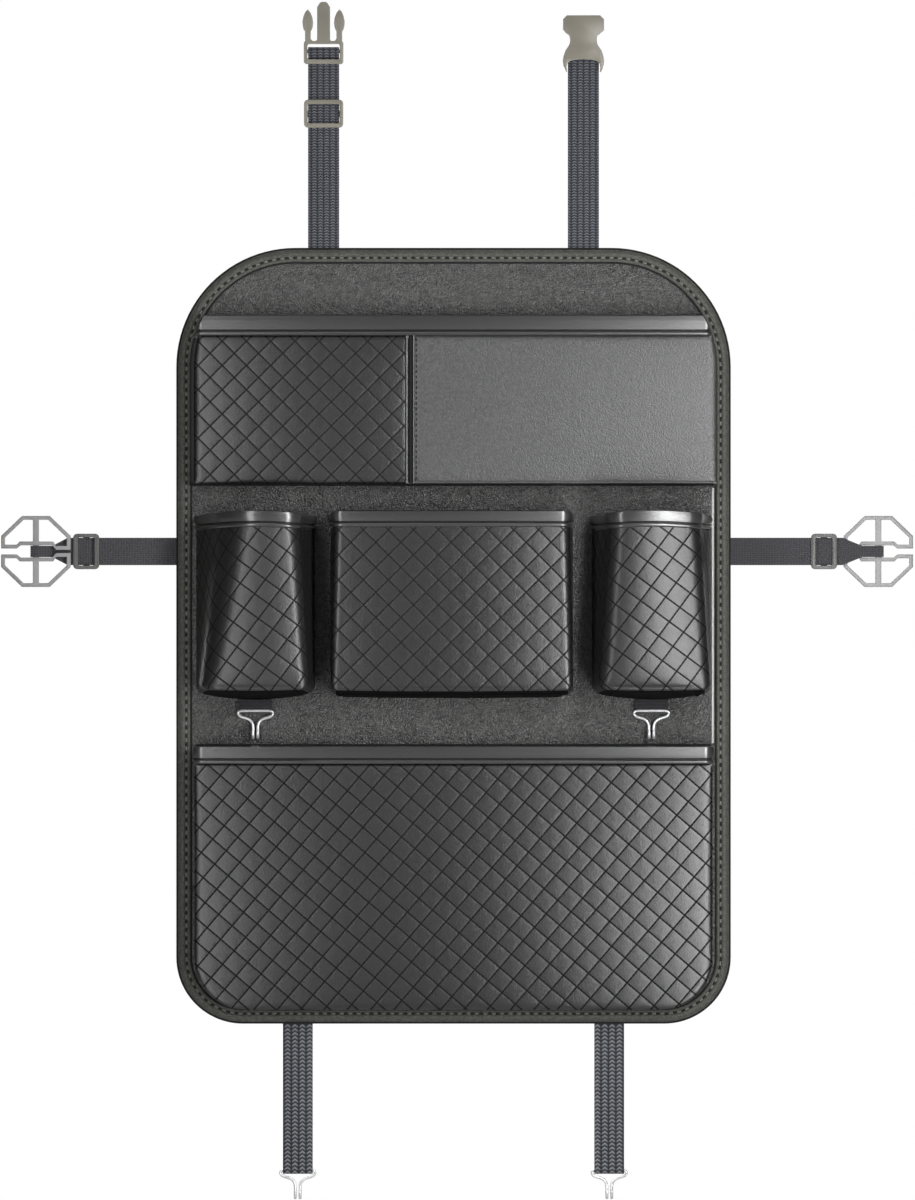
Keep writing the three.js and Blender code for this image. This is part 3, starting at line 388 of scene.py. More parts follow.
def dressed(thing, material, body, slot_name, *nodes, smooth=40):
    """Finish, body and CAD nodes of a new piece. The slot_name is not used."""
    thing.data.materials.clear()
    thing.data.materials.append(material)
    select_only(thing)
    bpy.ops.object.shade_smooth_by_angle(angle=math.radians(smooth))
    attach(thing, body)
    if nodes:
        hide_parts(*nodes)
    return thing


# The section's x is minus the way in from the panel's edge, and its y is the height off the seat.
board, crest = -panel_front, -binding_front
binding_section = [
    (-BINDING_WIDTH, board), (-BINDING_WIDTH, board + 0.0007), (-BINDING_WIDTH + 0.0008, crest - 0.0001),
    (-0.0088, crest + 0.0003), (-0.0079, crest - 0.0002), (-STITCH_INSET, crest - 0.0006),
    (-0.0065, crest - 0.0002), (-0.0055, crest + 0.0004), (-0.0042, crest + 0.0004),
    (-0.0028, crest - 0.0002), (-0.0016, crest - 0.0011), (-0.0007, crest - 0.0022),
    (-0.0001, crest - 0.0034), (0, 0.0020), (-0.0006, 0.0007), (-0.0018, 0.0), (-BINDING_WIDTH, 0.0),
    (-BINDING_WIDTH, LINING), (-0.0012, LINING), (-0.0012, board),
]
binding = swept("edge_binding_tape", panel_outline(), binding_section, closed=True, upright=True)
binding_tape = grained_leather("binding_tape", (0.036, 0.036, 0.031), (0.1, 0.1, 0.086), 950, 0.0004, 0.6)
dressed(binding, binding_tape, BODY, "binding_tape", "edge_binding", smooth=60)


def walk_along(path, pitch, closed=True):
    """Evenly spaced places on a path with their directions: (point, direction) pairs."""
    corners = list(path) + ([path[0]] if closed else [])
    lengths = [(b - a).length for a, b in zip(corners, corners[1:])]
    count = max(1, round(sum(lengths) / pitch))
    even = sum(lengths) / count
    places, at, leg = [], even / 2, 0
    walked = 0.0
    for _ in range(count):
        while walked + lengths[leg] < at:
            walked += lengths[leg]
            leg += 1
        start, end = corners[leg], corners[leg + 1]
        share = (at - walked) / lengths[leg]
        places.append((start.lerp(end, share), (end - start).normalized()))
        at += even
    return places


def thread_row(name, places, length, thickness, material, slot_name="trim_leather"):
    """One row of low round stitches, each from one small ball, at places of (spot, along, outward)."""
    bpy.ops.mesh.primitive_uv_sphere_add(segments=8, ring_count=6, radius=0.5)
    ball = bpy.context.object
    ball.scale = (length, thickness, thickness)
    bpy.ops.object.transform_apply(location=True, rotation=True, scale=True)
    bead_points = [vertex.co.copy() for vertex in ball.data.vertices]
    bead_faces = [tuple(face.vertices) for face in ball.data.polygons]
    bpy.data.objects.remove(ball)
    vertices, faces = [], []
    for spot, along, out in places:
        side = out.cross(along)
        turn = Matrix((along, side, out)).transposed()
        base = len(vertices)
        vertices += [tuple(spot + turn @ bead) for bead in bead_points]
        faces += [tuple(base + index for index in face) for face in bead_faces]
    data = bpy.data.meshes.new(name)
    data.from_pydata(vertices, [], faces)
    row = add_object(name, data)
    tidy_mesh(row, merge=0.000001)
    return dressed(row, material, BODY, slot_name)


def sewing_thread(name, colour):
    material, tree, shader = new_material(name, {"Roughness": 0.7})
    twist = noise(tree, object_place(tree), 3000.0)
    dark, light = [[part * share for part in colour] for share in (0.6, 1.5)]
    tree.links.new(blend_colour(tree, twist, dark, light), shader["Base Color"])
    return material


def laid_flat(places, y):
    """Places in X and Z as places on a face that looks to the front."""
    out = Vector((0, -1, 0))
    return [(Vector((spot.x, y, spot.y)), Vector((along.x, 0, along.y)), out) for spot, along in places]


# Stitches and needle holes take turns along the dip. The holes are beads of the dark thread, painted
# shade. Each row has its first place, its lift off the binding, and its beads' length and thickness.
dark_thread_and_hole_shade = sewing_thread("dark_thread_and_hole_shade", (0.006, 0.006, 0.006))
olive_thread = sewing_thread("olive_thread", (0.17, 0.17, 0.15))
turns = walk_along(panel_outline(STITCH_INSET), STITCH_PITCH / 2)
for name, first, lift, length, thickness, thread in (
    ("binding_thread", 0, 0.0005, 0.0040, 0.0013, olive_thread),
    ("binding_hole_shade", 1, 0.0003, 0.0036, 0.0022, dark_thread_and_hole_shade),
):
    places = laid_flat(turns[first::2], binding_front + lift)
    thread_row(name, places, length, thickness, thread, "binding_tape")


def thin_roll(name, places, radius, material, slot_name, closed=False):
    """A thin round roll of leather or cord through these places: folded edges, welts, painted shade."""
    data = curve_line(name, places, closed, "3D")
    data.bevel_depth = radius
    data.bevel_resolution = 3
    data.use_fill_caps = True
    roll = as_mesh(add_object(name, data))
    tidy_mesh(roll)
    return dressed(roll, material, BODY, slot_name, smooth=80)


# The tape's turned inner edge lies in a groove and its outer fold turns to the back. Dark rolls
# along both are painted shade.
painted_shade = woven_cloth("painted_shade", (0.004, 0.004, 0.004), (0.01, 0.01, 0.01), 1500, 0.0001)
for name, inset, y in (
    ("binding_groove_shade", BINDING_WIDTH + 0.0003, panel_front - 0.0003),
    ("binding_fold_shade", 0.0004, -0.0037),
):
    places = [(spot.x, y, spot.y) for spot in panel_outline(inset)]
    thin_roll(name, places, 0.0009, painted_shade, "binding_tape", closed=True)


# Quilted leather
# Soft artificial leather over thin foam, sewn in a lattice of diamonds. The lattice is worked out
# on the flat leather, in the UV map, in metres, so it follows the leather round a cup.
class Lattice:
    """Two families of seams: their angles, the gap between seams and a point where two cross."""

    def __init__(self, falling, rising, gap_falling, gap_rising, crossing):
        self.families = []
        for angle, gap in ((falling, gap_falling), (rising, gap_rising)):
            normal = Vector((-math.sin(math.radians(angle)), math.cos(math.radians(angle))))
            self.families.append((normal, gap, normal.dot(Vector(crossing))))

    def pillow(self, u, v):
        """0 on the seams to 1 in the middle of a diamond."""
        swell = 1.0
        for normal, gap, start in self.families:
            share = ((normal.x * u + normal.y * v - start) / gap) % 1.0
            swell *= math.sin(math.pi * share)
        return abs(swell) ** 0.8


seam_lines, inlet, outlet = shader_group("quilt_seam", {
    "Vector": None, "Normal X": 1.0, "Normal Y": 0.0, "Start": 0.0, "Gap": 0.018,
}, ["Distance", "Along"])
flat = wire_up(seam_lines, "ShaderNodeSeparateXYZ", {0: inlet["Vector"]}).outputs
across = math_node(seam_lines, "ADD", math_node(seam_lines, "MULTIPLY", flat[0], inlet["Normal X"]),
                   math_node(seam_lines, "MULTIPLY", flat[1], inlet["Normal Y"]))
across = math_node(seam_lines, "SUBTRACT", across, inlet["Start"])
nearest = math_node(seam_lines, "PINGPONG", across, math_node(seam_lines, "MULTIPLY", inlet["Gap"], 0.5))
seam_lines.links.new(nearest, outlet["Distance"])
along = math_node(seam_lines, "SUBTRACT", math_node(seam_lines, "MULTIPLY", flat[0], inlet["Normal Y"]),
                  math_node(seam_lines, "MULTIPLY", flat[1], inlet["Normal X"]))
seam_lines.links.new(along, outlet["Along"])

SEAM_HALF, SEAM_DIP = 0.0009, 0.0003
QUILT_STITCH, STITCH_GAP = 0.0032, 0.0005
QUILT_GRAIN = 1250
QUILT_DARK, QUILT_LIGHT = (0.003, 0.003, 0.0031), (0.015, 0.015, 0.0152)
PUFF = 0.00013


def quilted_leather(name, lattice, seam, rough=0.34):
    """Dark quilted leather with stitched seams of the seam colour. The seams are wired to Metallic too,
    which takes the leather's sheen off them: it stands for deep shade and not for metal."""
    material, tree, shader = new_material(name, {"Specular IOR Level": 0.8, "Coat Roughness": 0.3})
    grain = place_group(tree, pebbles, {"Vector": object_place(tree), "Per metre": QUILT_GRAIN})
    flat_leather = wire_up(tree, "ShaderNodeTexCoord").outputs["UV"]
    masks, dips = [], []
    for normal, gap, start in lattice.families:
        line = place_group(tree, seam_lines, {
            "Vector": flat_leather, "Normal X": normal.x, "Normal Y": normal.y, "Start": start, "Gap": gap,
        })
        groove = remap(tree, line["Distance"], 0.0, SEAM_HALF, 1.0, 0.0)
        dash = math_node(tree, "PINGPONG", line["Along"], QUILT_STITCH / 2)
        masks.append(math_node(tree, "MULTIPLY", groove, remap(tree, dash, 0.0, STITCH_GAP, 0.6, 1.0)))
        dips.append(remap(tree, line["Distance"], 0.0, SEAM_HALF * 2.2, 0.0, 1.0))
    seam_mask = math_node(tree, "MAXIMUM", masks[0], masks[1])
    leather = blend_colour(tree, remap(tree, grain["Tone"], 0.3, 0.7), QUILT_DARK, QUILT_LIGHT)
    tree.links.new(blend_colour(tree, seam_mask, leather, seam), shader["Base Color"])
    tree.links.new(remap(tree, seam_mask, 0.0, 1.0, rough, 1.0), shader["Roughness"])
    tree.links.new(remap(tree, seam_mask, 0.0, 1.0, 0.2, 0.0), shader["Coat Weight"])
    tree.links.new(remap(tree, seam_mask, 0.0, 0.6), shader["Metallic"])
    sewn = raised(tree, math_node(tree, "MULTIPLY", dips[0], dips[1]), SEAM_DIP, 0.3)
    tree.links.new(raised(tree, grain["Height"], 0.0002, 0.6, under=sewn), shader["Normal"])
    return material


def leather_sheet(name, columns, rows, place, uv):
    """A grid of leather whose points go where place(u, v) says, u and v from 0 to 1."""
    bpy.ops.mesh.primitive_grid_add(x_subdivisions=columns, y_subdivisions=rows, size=1)
    sheet = bpy.context.object
    sheet.name = name
    shares = [(vertex.co.x + 0.5, vertex.co.y + 0.5) for vertex in sheet.data.vertices]
    layer = sheet.data.uv_layers.active.data
    for loop in sheet.data.loops:
        layer[loop.index].uv = uv(*shares[loop.vertex_index])
    for vertex, (u, v) in zip(sheet.data.vertices, shares):
        vertex.co = place(u, v)
    sheet.data.update()
    return sheet


def close_back(sheet, back):
    """The sheet's rim is drawn back to a flat inner side."""
    edit_all(sheet)
    bpy.ops.mesh.region_to_loop()
    bpy.ops.mesh.extrude_edges_move()
    bpy.ops.transform.resize(value=(1, 0, 1), center_override=(0, back, 0), orient_type="GLOBAL")
    bpy.ops.mesh.edge_face_add()
    bpy.ops.mesh.select_all(action="SELECT")
    bpy.ops.mesh.normals_make_consistent(inside=False)
    bpy.ops.object.mode_set(mode="OBJECT")


def edge_fall(share, width, size):
    """How far a crowned face has risen at a share of its width: 0 at either edge, 1 well inside."""
    near = min(share, 1 - share) * width
    if near >= size:
        return 1.0
    return math.sqrt(max(0.0, 1 - (1 - near / size) ** 2))


CELL, FACE_EDGE = 0.0011, 0.006


def flat_face(name, node, lattice, puff, crown, corner=0.0, left_edge=None, right_edge=None):
    """A pocket face that fills its CAD solid: it swells by crown and is quilted by puff. Its lower
    corners have the radius corner, and left_edge and right_edge give its sides' x at a height."""
    low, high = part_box(node)
    width, tall = high.x - low.x, high.z - low.z

    def corner_inset(z):
        rise = z - low.z
        if rise >= corner:
            return 0.0
        return corner - math.sqrt(max(0.0, corner ** 2 - (corner - rise) ** 2))

    def place(u, v):
        z = low.z + v * tall
        start = left_edge(z) if left_edge else low.x + corner_inset(z)
        end = right_edge(z) if right_edge else high.x - corner_inset(z)
        x = start + u * (end - start)
        fall = edge_fall(u, width, FACE_EDGE) * edge_fall(v, tall, FACE_EDGE)
        swell = math.sin(math.pi * u) ** 0.6 * math.sin(math.pi * v) ** 0.6
        quilt = lattice.pillow(x, z) * puff if lattice else 0.0
        y = high.y - 0.0012 - fall * 0.0012 - swell * crown - fall * quilt
        return (x, y, z)

    sheet = leather_sheet(name, round(width / CELL), round(tall / CELL), place,
                          lambda u, v: (place(u, v)[0], low.z + v * tall))
    close_back(sheet, high.y)
    return sheet


def photo_lattice(falling, rising, gap_falling, gap_rising, crossing):
    """A lattice measured in the photograph: angles in degrees, gaps and a crossing in pixels."""
    return Lattice(-falling, rising, gap_falling * PIXEL, gap_rising * PIXEL, from_photo(*crossing))


# Bottom pocket
# The widest pocket, for magazines: a quilted face on a shallow strip of plain leather.
bottom_lattice = photo_lattice(40.5, 49.5, 17.7, 17.7, (248, 798))
bottom_face = flat_face("bottom_pocket_quilt", "bottom_pocket_face", bottom_lattice, PUFF, 0.0040,
                        corner=0.0392)
bottom_leather = quilted_leather("quilted_leather_bottom", bottom_lattice, (0.023, 0.023, 0.023))
dressed(bottom_face, bottom_leather, BODY, "quilted_leather", "bottom_pocket_face", smooth=60)

plain_leather = grained_leather(
    "plain_leather", (0.02, 0.02, 0.0205), (0.04, 0.04, 0.041), 1200, 0.0003, 0.45, gloss=0.8)
repaint("bottom_pocket_gusset", plain_leather)


def satin_leather(name, dark, light, rough):
    material, tree, shader = new_material(name, {
        "Roughness": rough, "Specular IOR Level": 0.9, "Coat Weight": 0.9, "Coat Roughness": 0.25,
    })
    grain = place_group(tree, pebbles, {"Vector": object_place(tree), "Per metre": 1500})
    tree.links.new(blend_colour(tree, grain["Tone"], dark, light), shader["Base Color"])
    tree.links.new(raised(tree, grain["Height"], 0.00012, 0.35), shader["Normal"])
    return material


rim_leather = satin_leather("rim_leather", (0.028, 0.028, 0.029), (0.032, 0.032, 0.033), 0.28)
PATH_STEPS = 10


def rounded_path(corners, radii):
    """An open path whose inner corners are rounded, each by its radius."""
    path = [Vector(corners[0])]
    for before, corner, after, radius in zip(corners, corners[1:], corners[2:], radii):
        corner = Vector(corner)
        back, forth = (Vector(before) - corner), (Vector(after) - corner)
        reach = min(radius / math.tan(back.angle(forth) / 2), back.length * 0.49, forth.length * 0.49)
        start, end = corner + back.normalized() * reach, corner + forth.normalized() * reach
        for step in range(PATH_STEPS + 1):
            share = step / PATH_STEPS
            path.append(start.lerp(corner, share).lerp(corner.lerp(end, share), share))
    path.append(Vector(corners[-1]))
    return path


def clamped(share):
    return min(1.0, max(0.0, share))


RIM_DEPTH, RIM_PROUD = 0.003, 0.0012
RIM_BEAD, RIM_GROOVE = 0.0033, 0.0009
RIM_STEPS = 8
RIM_ENDS_LOWER = 0.4


def rim_section(bottom, tall):
    """The rim's section: a round bead, a groove and a smooth band that rolls over the mouth."""
    bead_top, band_low, band_high = bottom + RIM_BEAD, bottom + RIM_BEAD + RIM_GROOVE, bottom + tall
    points = [(-RIM_DEPTH, bottom)]
    for step in range(RIM_STEPS + 1):
        angle = math.radians(-90 + 180 * step / RIM_STEPS)
        points.append((RIM_PROUD - 0.0016 + 0.0018 * math.cos(angle),
                       bottom + RIM_BEAD / 2 + RIM_BEAD / 2 * math.sin(angle)))
    points += [(RIM_PROUD - 0.0022, bead_top + RIM_GROOVE * 0.4), (RIM_PROUD - 0.0018, band_low)]
    for step in range(RIM_STEPS + 1):
        share = step / RIM_STEPS
        points.append((RIM_PROUD - 0.0008 + 0.0014 * math.sin(math.pi * (0.12 + 0.62 * share)),
                       band_low + (band_high - band_low) * (0.04 + 0.9 * share)))
    return points + [(RIM_PROUD - 0.0018, band_high), (-RIM_DEPTH * 0.5, band_high + 0.0003),
                     (-RIM_DEPTH, band_high - 0.0006)]


def mouth_rim(name, node, path, narrowing, arch=0.0):
    """A rim along a path round a pocket's mouth. Its ends narrow from the first to the second of the
    narrowing depths, and drop below its middle by the arch."""
    low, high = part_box(node)
    rim = swept(name, path, rim_section(low.z, high.z - low.z), closed=False)
    middle = (low.z + high.z) / 2
    for vertex in rim.data.vertices:
        behind = clamped((vertex.co.y - narrowing[0]) / (narrowing[1] - narrowing[0]))
        across = clamped((vertex.co.x - low.x) / (high.x - low.x))
        vertex.co.z = middle + (vertex.co.z - middle) * (1 - RIM_ENDS_LOWER * behind ** 1.5)
        vertex.co.z += arch * (math.sin(math.pi * across) - 1)
    return dressed(rim, rim_leather, BODY, "trim_leather", node, smooth=50)


FACE_THICKNESS, RIM_CORNER = 0.003, 0.006
low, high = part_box("bottom_pocket_rim")
bottom_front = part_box("bottom_pocket_gusset")[0].y - FACE_THICKNESS
mouth_rim("bottom_pocket_trim", "bottom_pocket_rim", rounded_path([
    (low.x + 0.0013, panel_front), (low.x + 0.0013, bottom_front),
    (high.x - 0.0013, bottom_front), (high.x - 0.0013, panel_front),
], (RIM_CORNER, RIM_CORNER)), (bottom_front + 0.0015, bottom_front + 0.0095))


# Top pocket
# A flat pocket in two halves: the left face is quilted in large diamonds, the right one plain and
# grained. A sewn seam divides them over a hidden partition, and one rim runs across both.
FIELD_INSET = 0.0108


def field_edge(z):
    """Half the width between the bindings at height z."""
    above = z - (panel_high.z - TOP_RADIUS)
    radius = TOP_RADIUS - FIELD_INSET
    if above <= 0:
        return panel_high.x - FIELD_INSET
    return panel_high.x - TOP_RADIUS + math.sqrt(max(0.0, radius ** 2 - above ** 2))


top_lattice = photo_lattice(45, 45, 17.1, 17.1, (247, 366))
left_face = flat_face("top_pocket_quilt", "top_pocket_face_left", top_lattice, 0.00012, 0.0025,
                      left_edge=lambda z: 0.0028 - field_edge(z))
# A thick dark roll in the gap between the quilted face's left edge and the binding is painted shade.
SHADE_FOOT, SHADE_STEP, SHADE_POINTS = 0.1158, 0.0007, 158
side_shade_path = [(0.0011 - field_edge(z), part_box("top_pocket_gusset")[0].y - 0.0006, z)
             for z in [SHADE_FOOT + SHADE_STEP * step for step in range(SHADE_POINTS)]]
thin_roll("top_pocket_side_shade", side_shade_path, 0.0017, painted_shade, "trim_leather")
top_leather = quilted_leather("quilted_leather_top", top_lattice, (0.04, 0.04, 0.04))
dressed(left_face, top_leather, BODY, "quilted_leather", "top_pocket_face_left", smooth=60)

face_leather = grained_leather(
    "face_leather", (0.04, 0.04, 0.041), (0.08, 0.08, 0.082), 900, 0.0003, 0.42, gloss=0.8)
right_face = flat_face("top_pocket_plain_face", "top_pocket_face_right", None, 0.0, 0.003,
                       right_edge=field_edge)
dressed(right_face, face_leather, BODY, "grained_leather", "top_pocket_face_right", smooth=60)
repaint("top_pocket_gusset", plain_leather)
repaint("top_pocket_divider", plain_leather)

low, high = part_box("top_pocket_rim")
top_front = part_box("top_pocket_gusset")[0].y - FACE_THICKNESS
rim_side = field_edge(low.z) - 0.0006
top_rim = swept("top_pocket_trim", rounded_path([
    (-rim_side, top_front + 0.009), (-rim_side, top_front),
    (rim_side, top_front), (rim_side, top_front + 0.009),
], (RIM_CORNER, RIM_CORNER)), rim_section(low.z, high.z - low.z), closed=False)
# The panel's round top corners cut the rim's ends off.
edit_all(top_rim)
for side in (-1, 1):
    bpy.ops.mesh.bisect(
        plane_co=(side * field_edge(high.z), 0, high.z), plane_no=(side * 0.9, 0, 0.42),
        clear_outer=True, use_fill=True)
    bpy.ops.mesh.select_all(action="SELECT")
bpy.ops.object.mode_set(mode="OBJECT")
dressed(top_rim, rim_leather, BODY, "trim_leather", "top_pocket_rim", smooth=50)

# The halves meet in folded edges; a dark roll in the gap between them is painted shade, and a row
# of stitches holds the right fold. The right half ends in a thin rolled hem.
right_low, right_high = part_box("top_pocket_face_right")
seam_top, seam_bottom = low.z, right_low.z
for name, column, depth, radius, material in (
    ("left_half_fold", 406.8, 0.0002, 0.0012, rim_leather),
    ("middle_gap_shade", 410.6, 0.0019, 0.0012, painted_shade),
    ("right_half_fold", 413.8, 0.0004, 0.0008, rim_leather),
):
    x, y = from_photo(column, 0)[0], top_front + depth
    thin_roll(name, [(x, y, seam_top), (x, y, seam_bottom + 0.0004)], radius, material, "trim_leather")
stitch_x = from_photo(416.4, 0)[0]
seam_line = [Vector((stitch_x, seam_bottom + 0.002)), Vector((stitch_x, seam_top - 0.001))]
thread_row("middle_seam_thread", laid_flat(walk_along(seam_line, 0.0041, closed=False), top_front - 0.0001),
           0.0026, 0.0011, dark_thread_and_hole_shade)
thin_roll("right_half_hem", [
    (right_low.x + 0.001, top_front + 0.0005, seam_bottom + 0.0010),
    (right_high.x - 0.001, top_front + 0.0005, seam_bottom + 0.0010),
], 0.0009, face_leather, "grained_leather")


# Cups and centre pocket
# Soft shells of quilted leather that stand out of the panel. Each is one piece of leather that comes
# down its walls and front, folds under at the bottom and runs back along a sagging base.
BASE_ROWS, FOLD_ROWS, ROW = 10, 8, 0.0011
FRONT_STEPS = 16


def between(first, second, share):
    return first + (second - first) * share


class DeepForm:
    """A deep pocket's form, in metres. Its front creases stand in from its back edges by insets, left
    and right, at the top and at the bottom, and are rounded by radii in the same order. Its front
    swells by the bulge, which the lean moves to the left."""

    def __init__(self, prefix, insets, radii, bulge, lean, base_sag, columns):
        self.back_low, self.back_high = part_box(prefix + "_gusset")
        self.front = self.back_low.y - FACE_THICKNESS
        self.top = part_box(prefix + "_face")[1].z
        self.front_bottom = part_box(prefix + "_face")[0].z + 0.0008
        self.back_bottom = self.back_low.z + base_sag
        self.insets, self.radii, self.bulge, self.base_sag = insets, radii, bulge, base_sag
        self.lean, self.columns = lean, columns

    def creases(self, v):
        (top_left, top_right), (low_left, low_right) = self.insets
        return (self.back_low.x + between(low_left, top_left, v),
                self.back_high.x - between(low_right, top_right, v))

    def across(self, x, v):
        left, right = self.creases(v)
        return clamped((x - left) / (right - left))

    def swell(self, x, v):
        share = self.across(x, v) ** self.lean
        rise = min(1.0, max(0.0, v) * 7) ** 0.5
        return self.bulge * 4 * share * (1 - share) * rise

    def base(self, x, y):
        """Height of the base over the ground plan."""
        share = (x - self.back_low.x) / (self.back_high.x - self.back_low.x)
        arc = math.sin(math.pi * clamped(share))
        reach = clamped((y - panel_front) / (self.front - panel_front))
        return between(self.back_bottom - self.base_sag * arc, self.front_bottom - 0.0008 * arc, reach)

    def plan(self, v):
        """The walls and the front at a share of the height, from above."""
        left, right = self.creases(v)
        path = rounded_path([
            (self.back_low.x, panel_front), (left, self.front),
            (right, self.front), (self.back_high.x, panel_front),
        ], [between(low, top, v) for top, low in zip(*self.radii)])
        first_arc = PATH_STEPS + 2
        start, end = path[first_arc - 1], path[first_arc]
        front = [start.lerp(end, step / FRONT_STEPS) for step in range(1, FRONT_STEPS)]
        long = path[:first_arc] + front + path[first_arc:]
        return [Vector((spot.x, spot.y - self.swell(spot.x, v))) for spot in long]

    def ring(self, v):
        """Evenly spaced places round the plan: (place, outward direction, developed x)."""
        path = self.plan(v)
        lengths = [0.0]
        for a, b in zip(path, path[1:]):
            lengths.append(lengths[-1] + (b - a).length)
        middle_x, spots, leg = (self.back_low.x + self.back_high.x) / 2, [], 0
        for column in range(self.columns + 1):
            at = lengths[-1] * column / self.columns
            while leg < len(lengths) - 2 and lengths[leg + 1] < at:
                leg += 1
            share = (at - lengths[leg]) / (lengths[leg + 1] - lengths[leg])
            spots.append((path[leg].lerp(path[leg + 1], share), at))
        at_middle = min(spots, key=lambda spot: abs(spot[0].x - middle_x))
        shift = at_middle[0].x - at_middle[1]
        ring = []
        for index, (spot, at) in enumerate(spots):
            walk = spots[min(self.columns, index + 1)][0] - spots[max(0, index - 1)][0]
            ring.append((spot, Vector((walk.y, -walk.x)).normalized(), at + shift))
        return ring


# The pockets' bases take this darker colour as painted shade under them.
base_leather_shade_painted = grained_leather(
    "base_leather_shade_painted", (0.002, 0.002, 0.002), (0.005, 0.005, 0.005), 1200, 0.0002, 0.75, gloss=0.1)
SHELL_THICKNESS = 0.0016


def deep_shell(name, prefix, form, lattice, fold, arch, material):
    """A pocket's walls, front and base in one sheet, quilted, with a round fold of this radius at the
    foot. The mouth's ends drop by the arch. The base's faces are less shiny, and darker as painted shade."""
    wall_rows = round((form.top - form.front_bottom) / ROW)
    rows = BASE_ROWS + FOLD_ROWS + wall_rows
    rings = [form.ring(row / wall_rows) for row in range(wall_rows + 1)]

    def developed(u, v):
        """The point's place on the flat leather."""
        wall_row = max(0, round(v * rows) - BASE_ROWS - FOLD_ROWS)
        return (rings[wall_row][round(u * form.columns)][2], place(u, v)[2])

    def place(u, v):
        row, column = round(v * rows), round(u * form.columns)
        wall_row = max(0, row - BASE_ROWS - FOLD_ROWS)
        spot, out, flat_x = rings[wall_row][column]
        low = form.base(spot.x, spot.y)
        turn = clamped((BASE_ROWS + FOLD_ROWS - row) / FOLD_ROWS) * math.pi / 2
        height = between(fold, form.top - low, wall_row / wall_rows) - fold * math.sin(turn)
        corner = 2 * fold - min(2 * fold, height)
        round_in = 2 * fold - math.sqrt(max(0.0, 4 * fold ** 2 - corner ** 2))
        inner = spot - out * fold * (1 - math.cos(turn)) - Vector((out.x * round_in, 0))
        low = form.base(inner.x, inner.y)
        if row < BASE_ROWS:
            y = between(panel_front, inner.y, row / BASE_ROWS)
            return (inner.x, y, form.base(inner.x, y))
        share = (spot.x - form.back_low.x) / (form.back_high.x - form.back_low.x)
        lift = arch * (math.sin(math.pi * clamped(share)) - 1)
        z = low + height * (1 + lift / (form.top - low))
        fade = clamped((z - low) / 0.006) * clamped((form.top + lift - z) / 0.004)
        inner = inner + out * lattice.pillow(flat_x, z) * PUFF * fade
        return (inner.x, inner.y, z)

    shell = leather_sheet(name, form.columns, rows, place, developed)
    tidy_mesh(shell, merge=0.0003)
    wall = shell.modifiers.new("leather", "SOLIDIFY")
    wall.thickness = SHELL_THICKNESS
    wall.thickness_clamp = 1.0
    wall.offset = -1
    bpy.ops.object.modifier_apply(modifier=wall.name)
    dressed(shell, material, BODY, "quilted_leather", prefix + "_face", prefix + "_gusset", smooth=50)
    shell.data.materials.append(base_leather_shade_painted)
    for face in shell.data.polygons:
        if face.center.z < form.base(face.center.x, face.center.y) + fold * 0.3:
            face.material_index = 1


LEFT_RADII, RIGHT_RADII = ((0.030, 0.011), (0.016, 0.008)), ((0.014, 0.009), (0.011, 0.007))
CENTRE_RADII = ((0.007, 0.007), (0.005, 0.005))
# Each pocket's form, its lattice, the radius of its fold and its arch.
FORMS = {
    "left_cup": (
        DeepForm("left_cup", ((0.024, 0.012), (0.005, 0.004)), LEFT_RADII, 0.0048, 0.95, 0.0045, 150),
        photo_lattice(36, 53, 17.7, 17.7, (252.8, 569.2)), 0.0035, 0.0026,
    ),
    "right_cup": (
        DeepForm("right_cup", ((0.013, 0.010), (0.0045, 0.0015)), RIGHT_RADII, 0.0062, 0.65, 0.0045, 150),
        photo_lattice(36, 53, 17.7, 17.7, (653.2, 611.1)), 0.0035, 0.0026,
    ),
    "centre_pocket": (
        DeepForm("centre_pocket", ((0.003, 0.003), (0.0005, 0.0005)), CENTRE_RADII, 0.003, 1.0, 0.001, 220),
        photo_lattice(45, 45, 17.6, 17.6, (563, 580)), 0.003, 0.0,
    ),
}

# Dark rolls along the seams on the board over and under the pockets are painted shade, and the
# light fold beside the right cup has a painted highlight.
for name, left, right, z, radius in (
    ("bottom_mouth_shade", 196.5, 711, from_photo(0, 745.0)[1], 0.0009),
    ("top_pocket_base_shade", 190, 714, seam_bottom - 0.0005, 0.0010),
):
    ends = [(from_photo(column, 0)[0], panel_front - 0.0006, z) for column in (left, right)]
    thin_roll(name, ends, radius, painted_shade, "trim_leather")
# A low fold of the board leather, whose light colour is a painted highlight.
painted_highlight_fold = satin_leather("painted_highlight_fold", (0.4, 0.4, 0.39), (0.5, 0.5, 0.48), 0.3)
fold_places = [from_photo(712.6, row) for row in (743, 700, 640, 560, 488)]
thin_roll("board_edge_highlight", [(x, panel_front, z) for x, z in fold_places], 0.0010, painted_highlight_fold,
          "panel_leather")

# Only the cups have an arch. Their seams are darker and their leather rougher than the centre pocket's.
for prefix, (form, lattice, fold, arch) in FORMS.items():
    seam, rough = ((0.032, 0.032, 0.032), 0.40) if arch else ((0.036, 0.036, 0.036), 0.34)
    leather = quilted_leather("quilted_leather_" + prefix, lattice, seam, rough)
    deep_shell(prefix + "_shell", prefix, form, lattice, fold, arch, leather)
    back = panel_front - 0.005 if arch else form.front + 0.0015
    mouth_rim(prefix + "_trim", prefix + "_rim", form.plan(1.0), (back, back + 0.008), arch)


# Rigid and woven fittings
# A copy of each moulded or woven fitting gets round edges, so that they catch the light. The hooks'
# wires are smoothed all over instead, and swell back to the thickness that this takes off.
BEVEL_ANGLE, BEVEL_SEGMENTS = 32, 2
WIRE_LEVELS, WIRE_REGAIN = 2, 0.00022


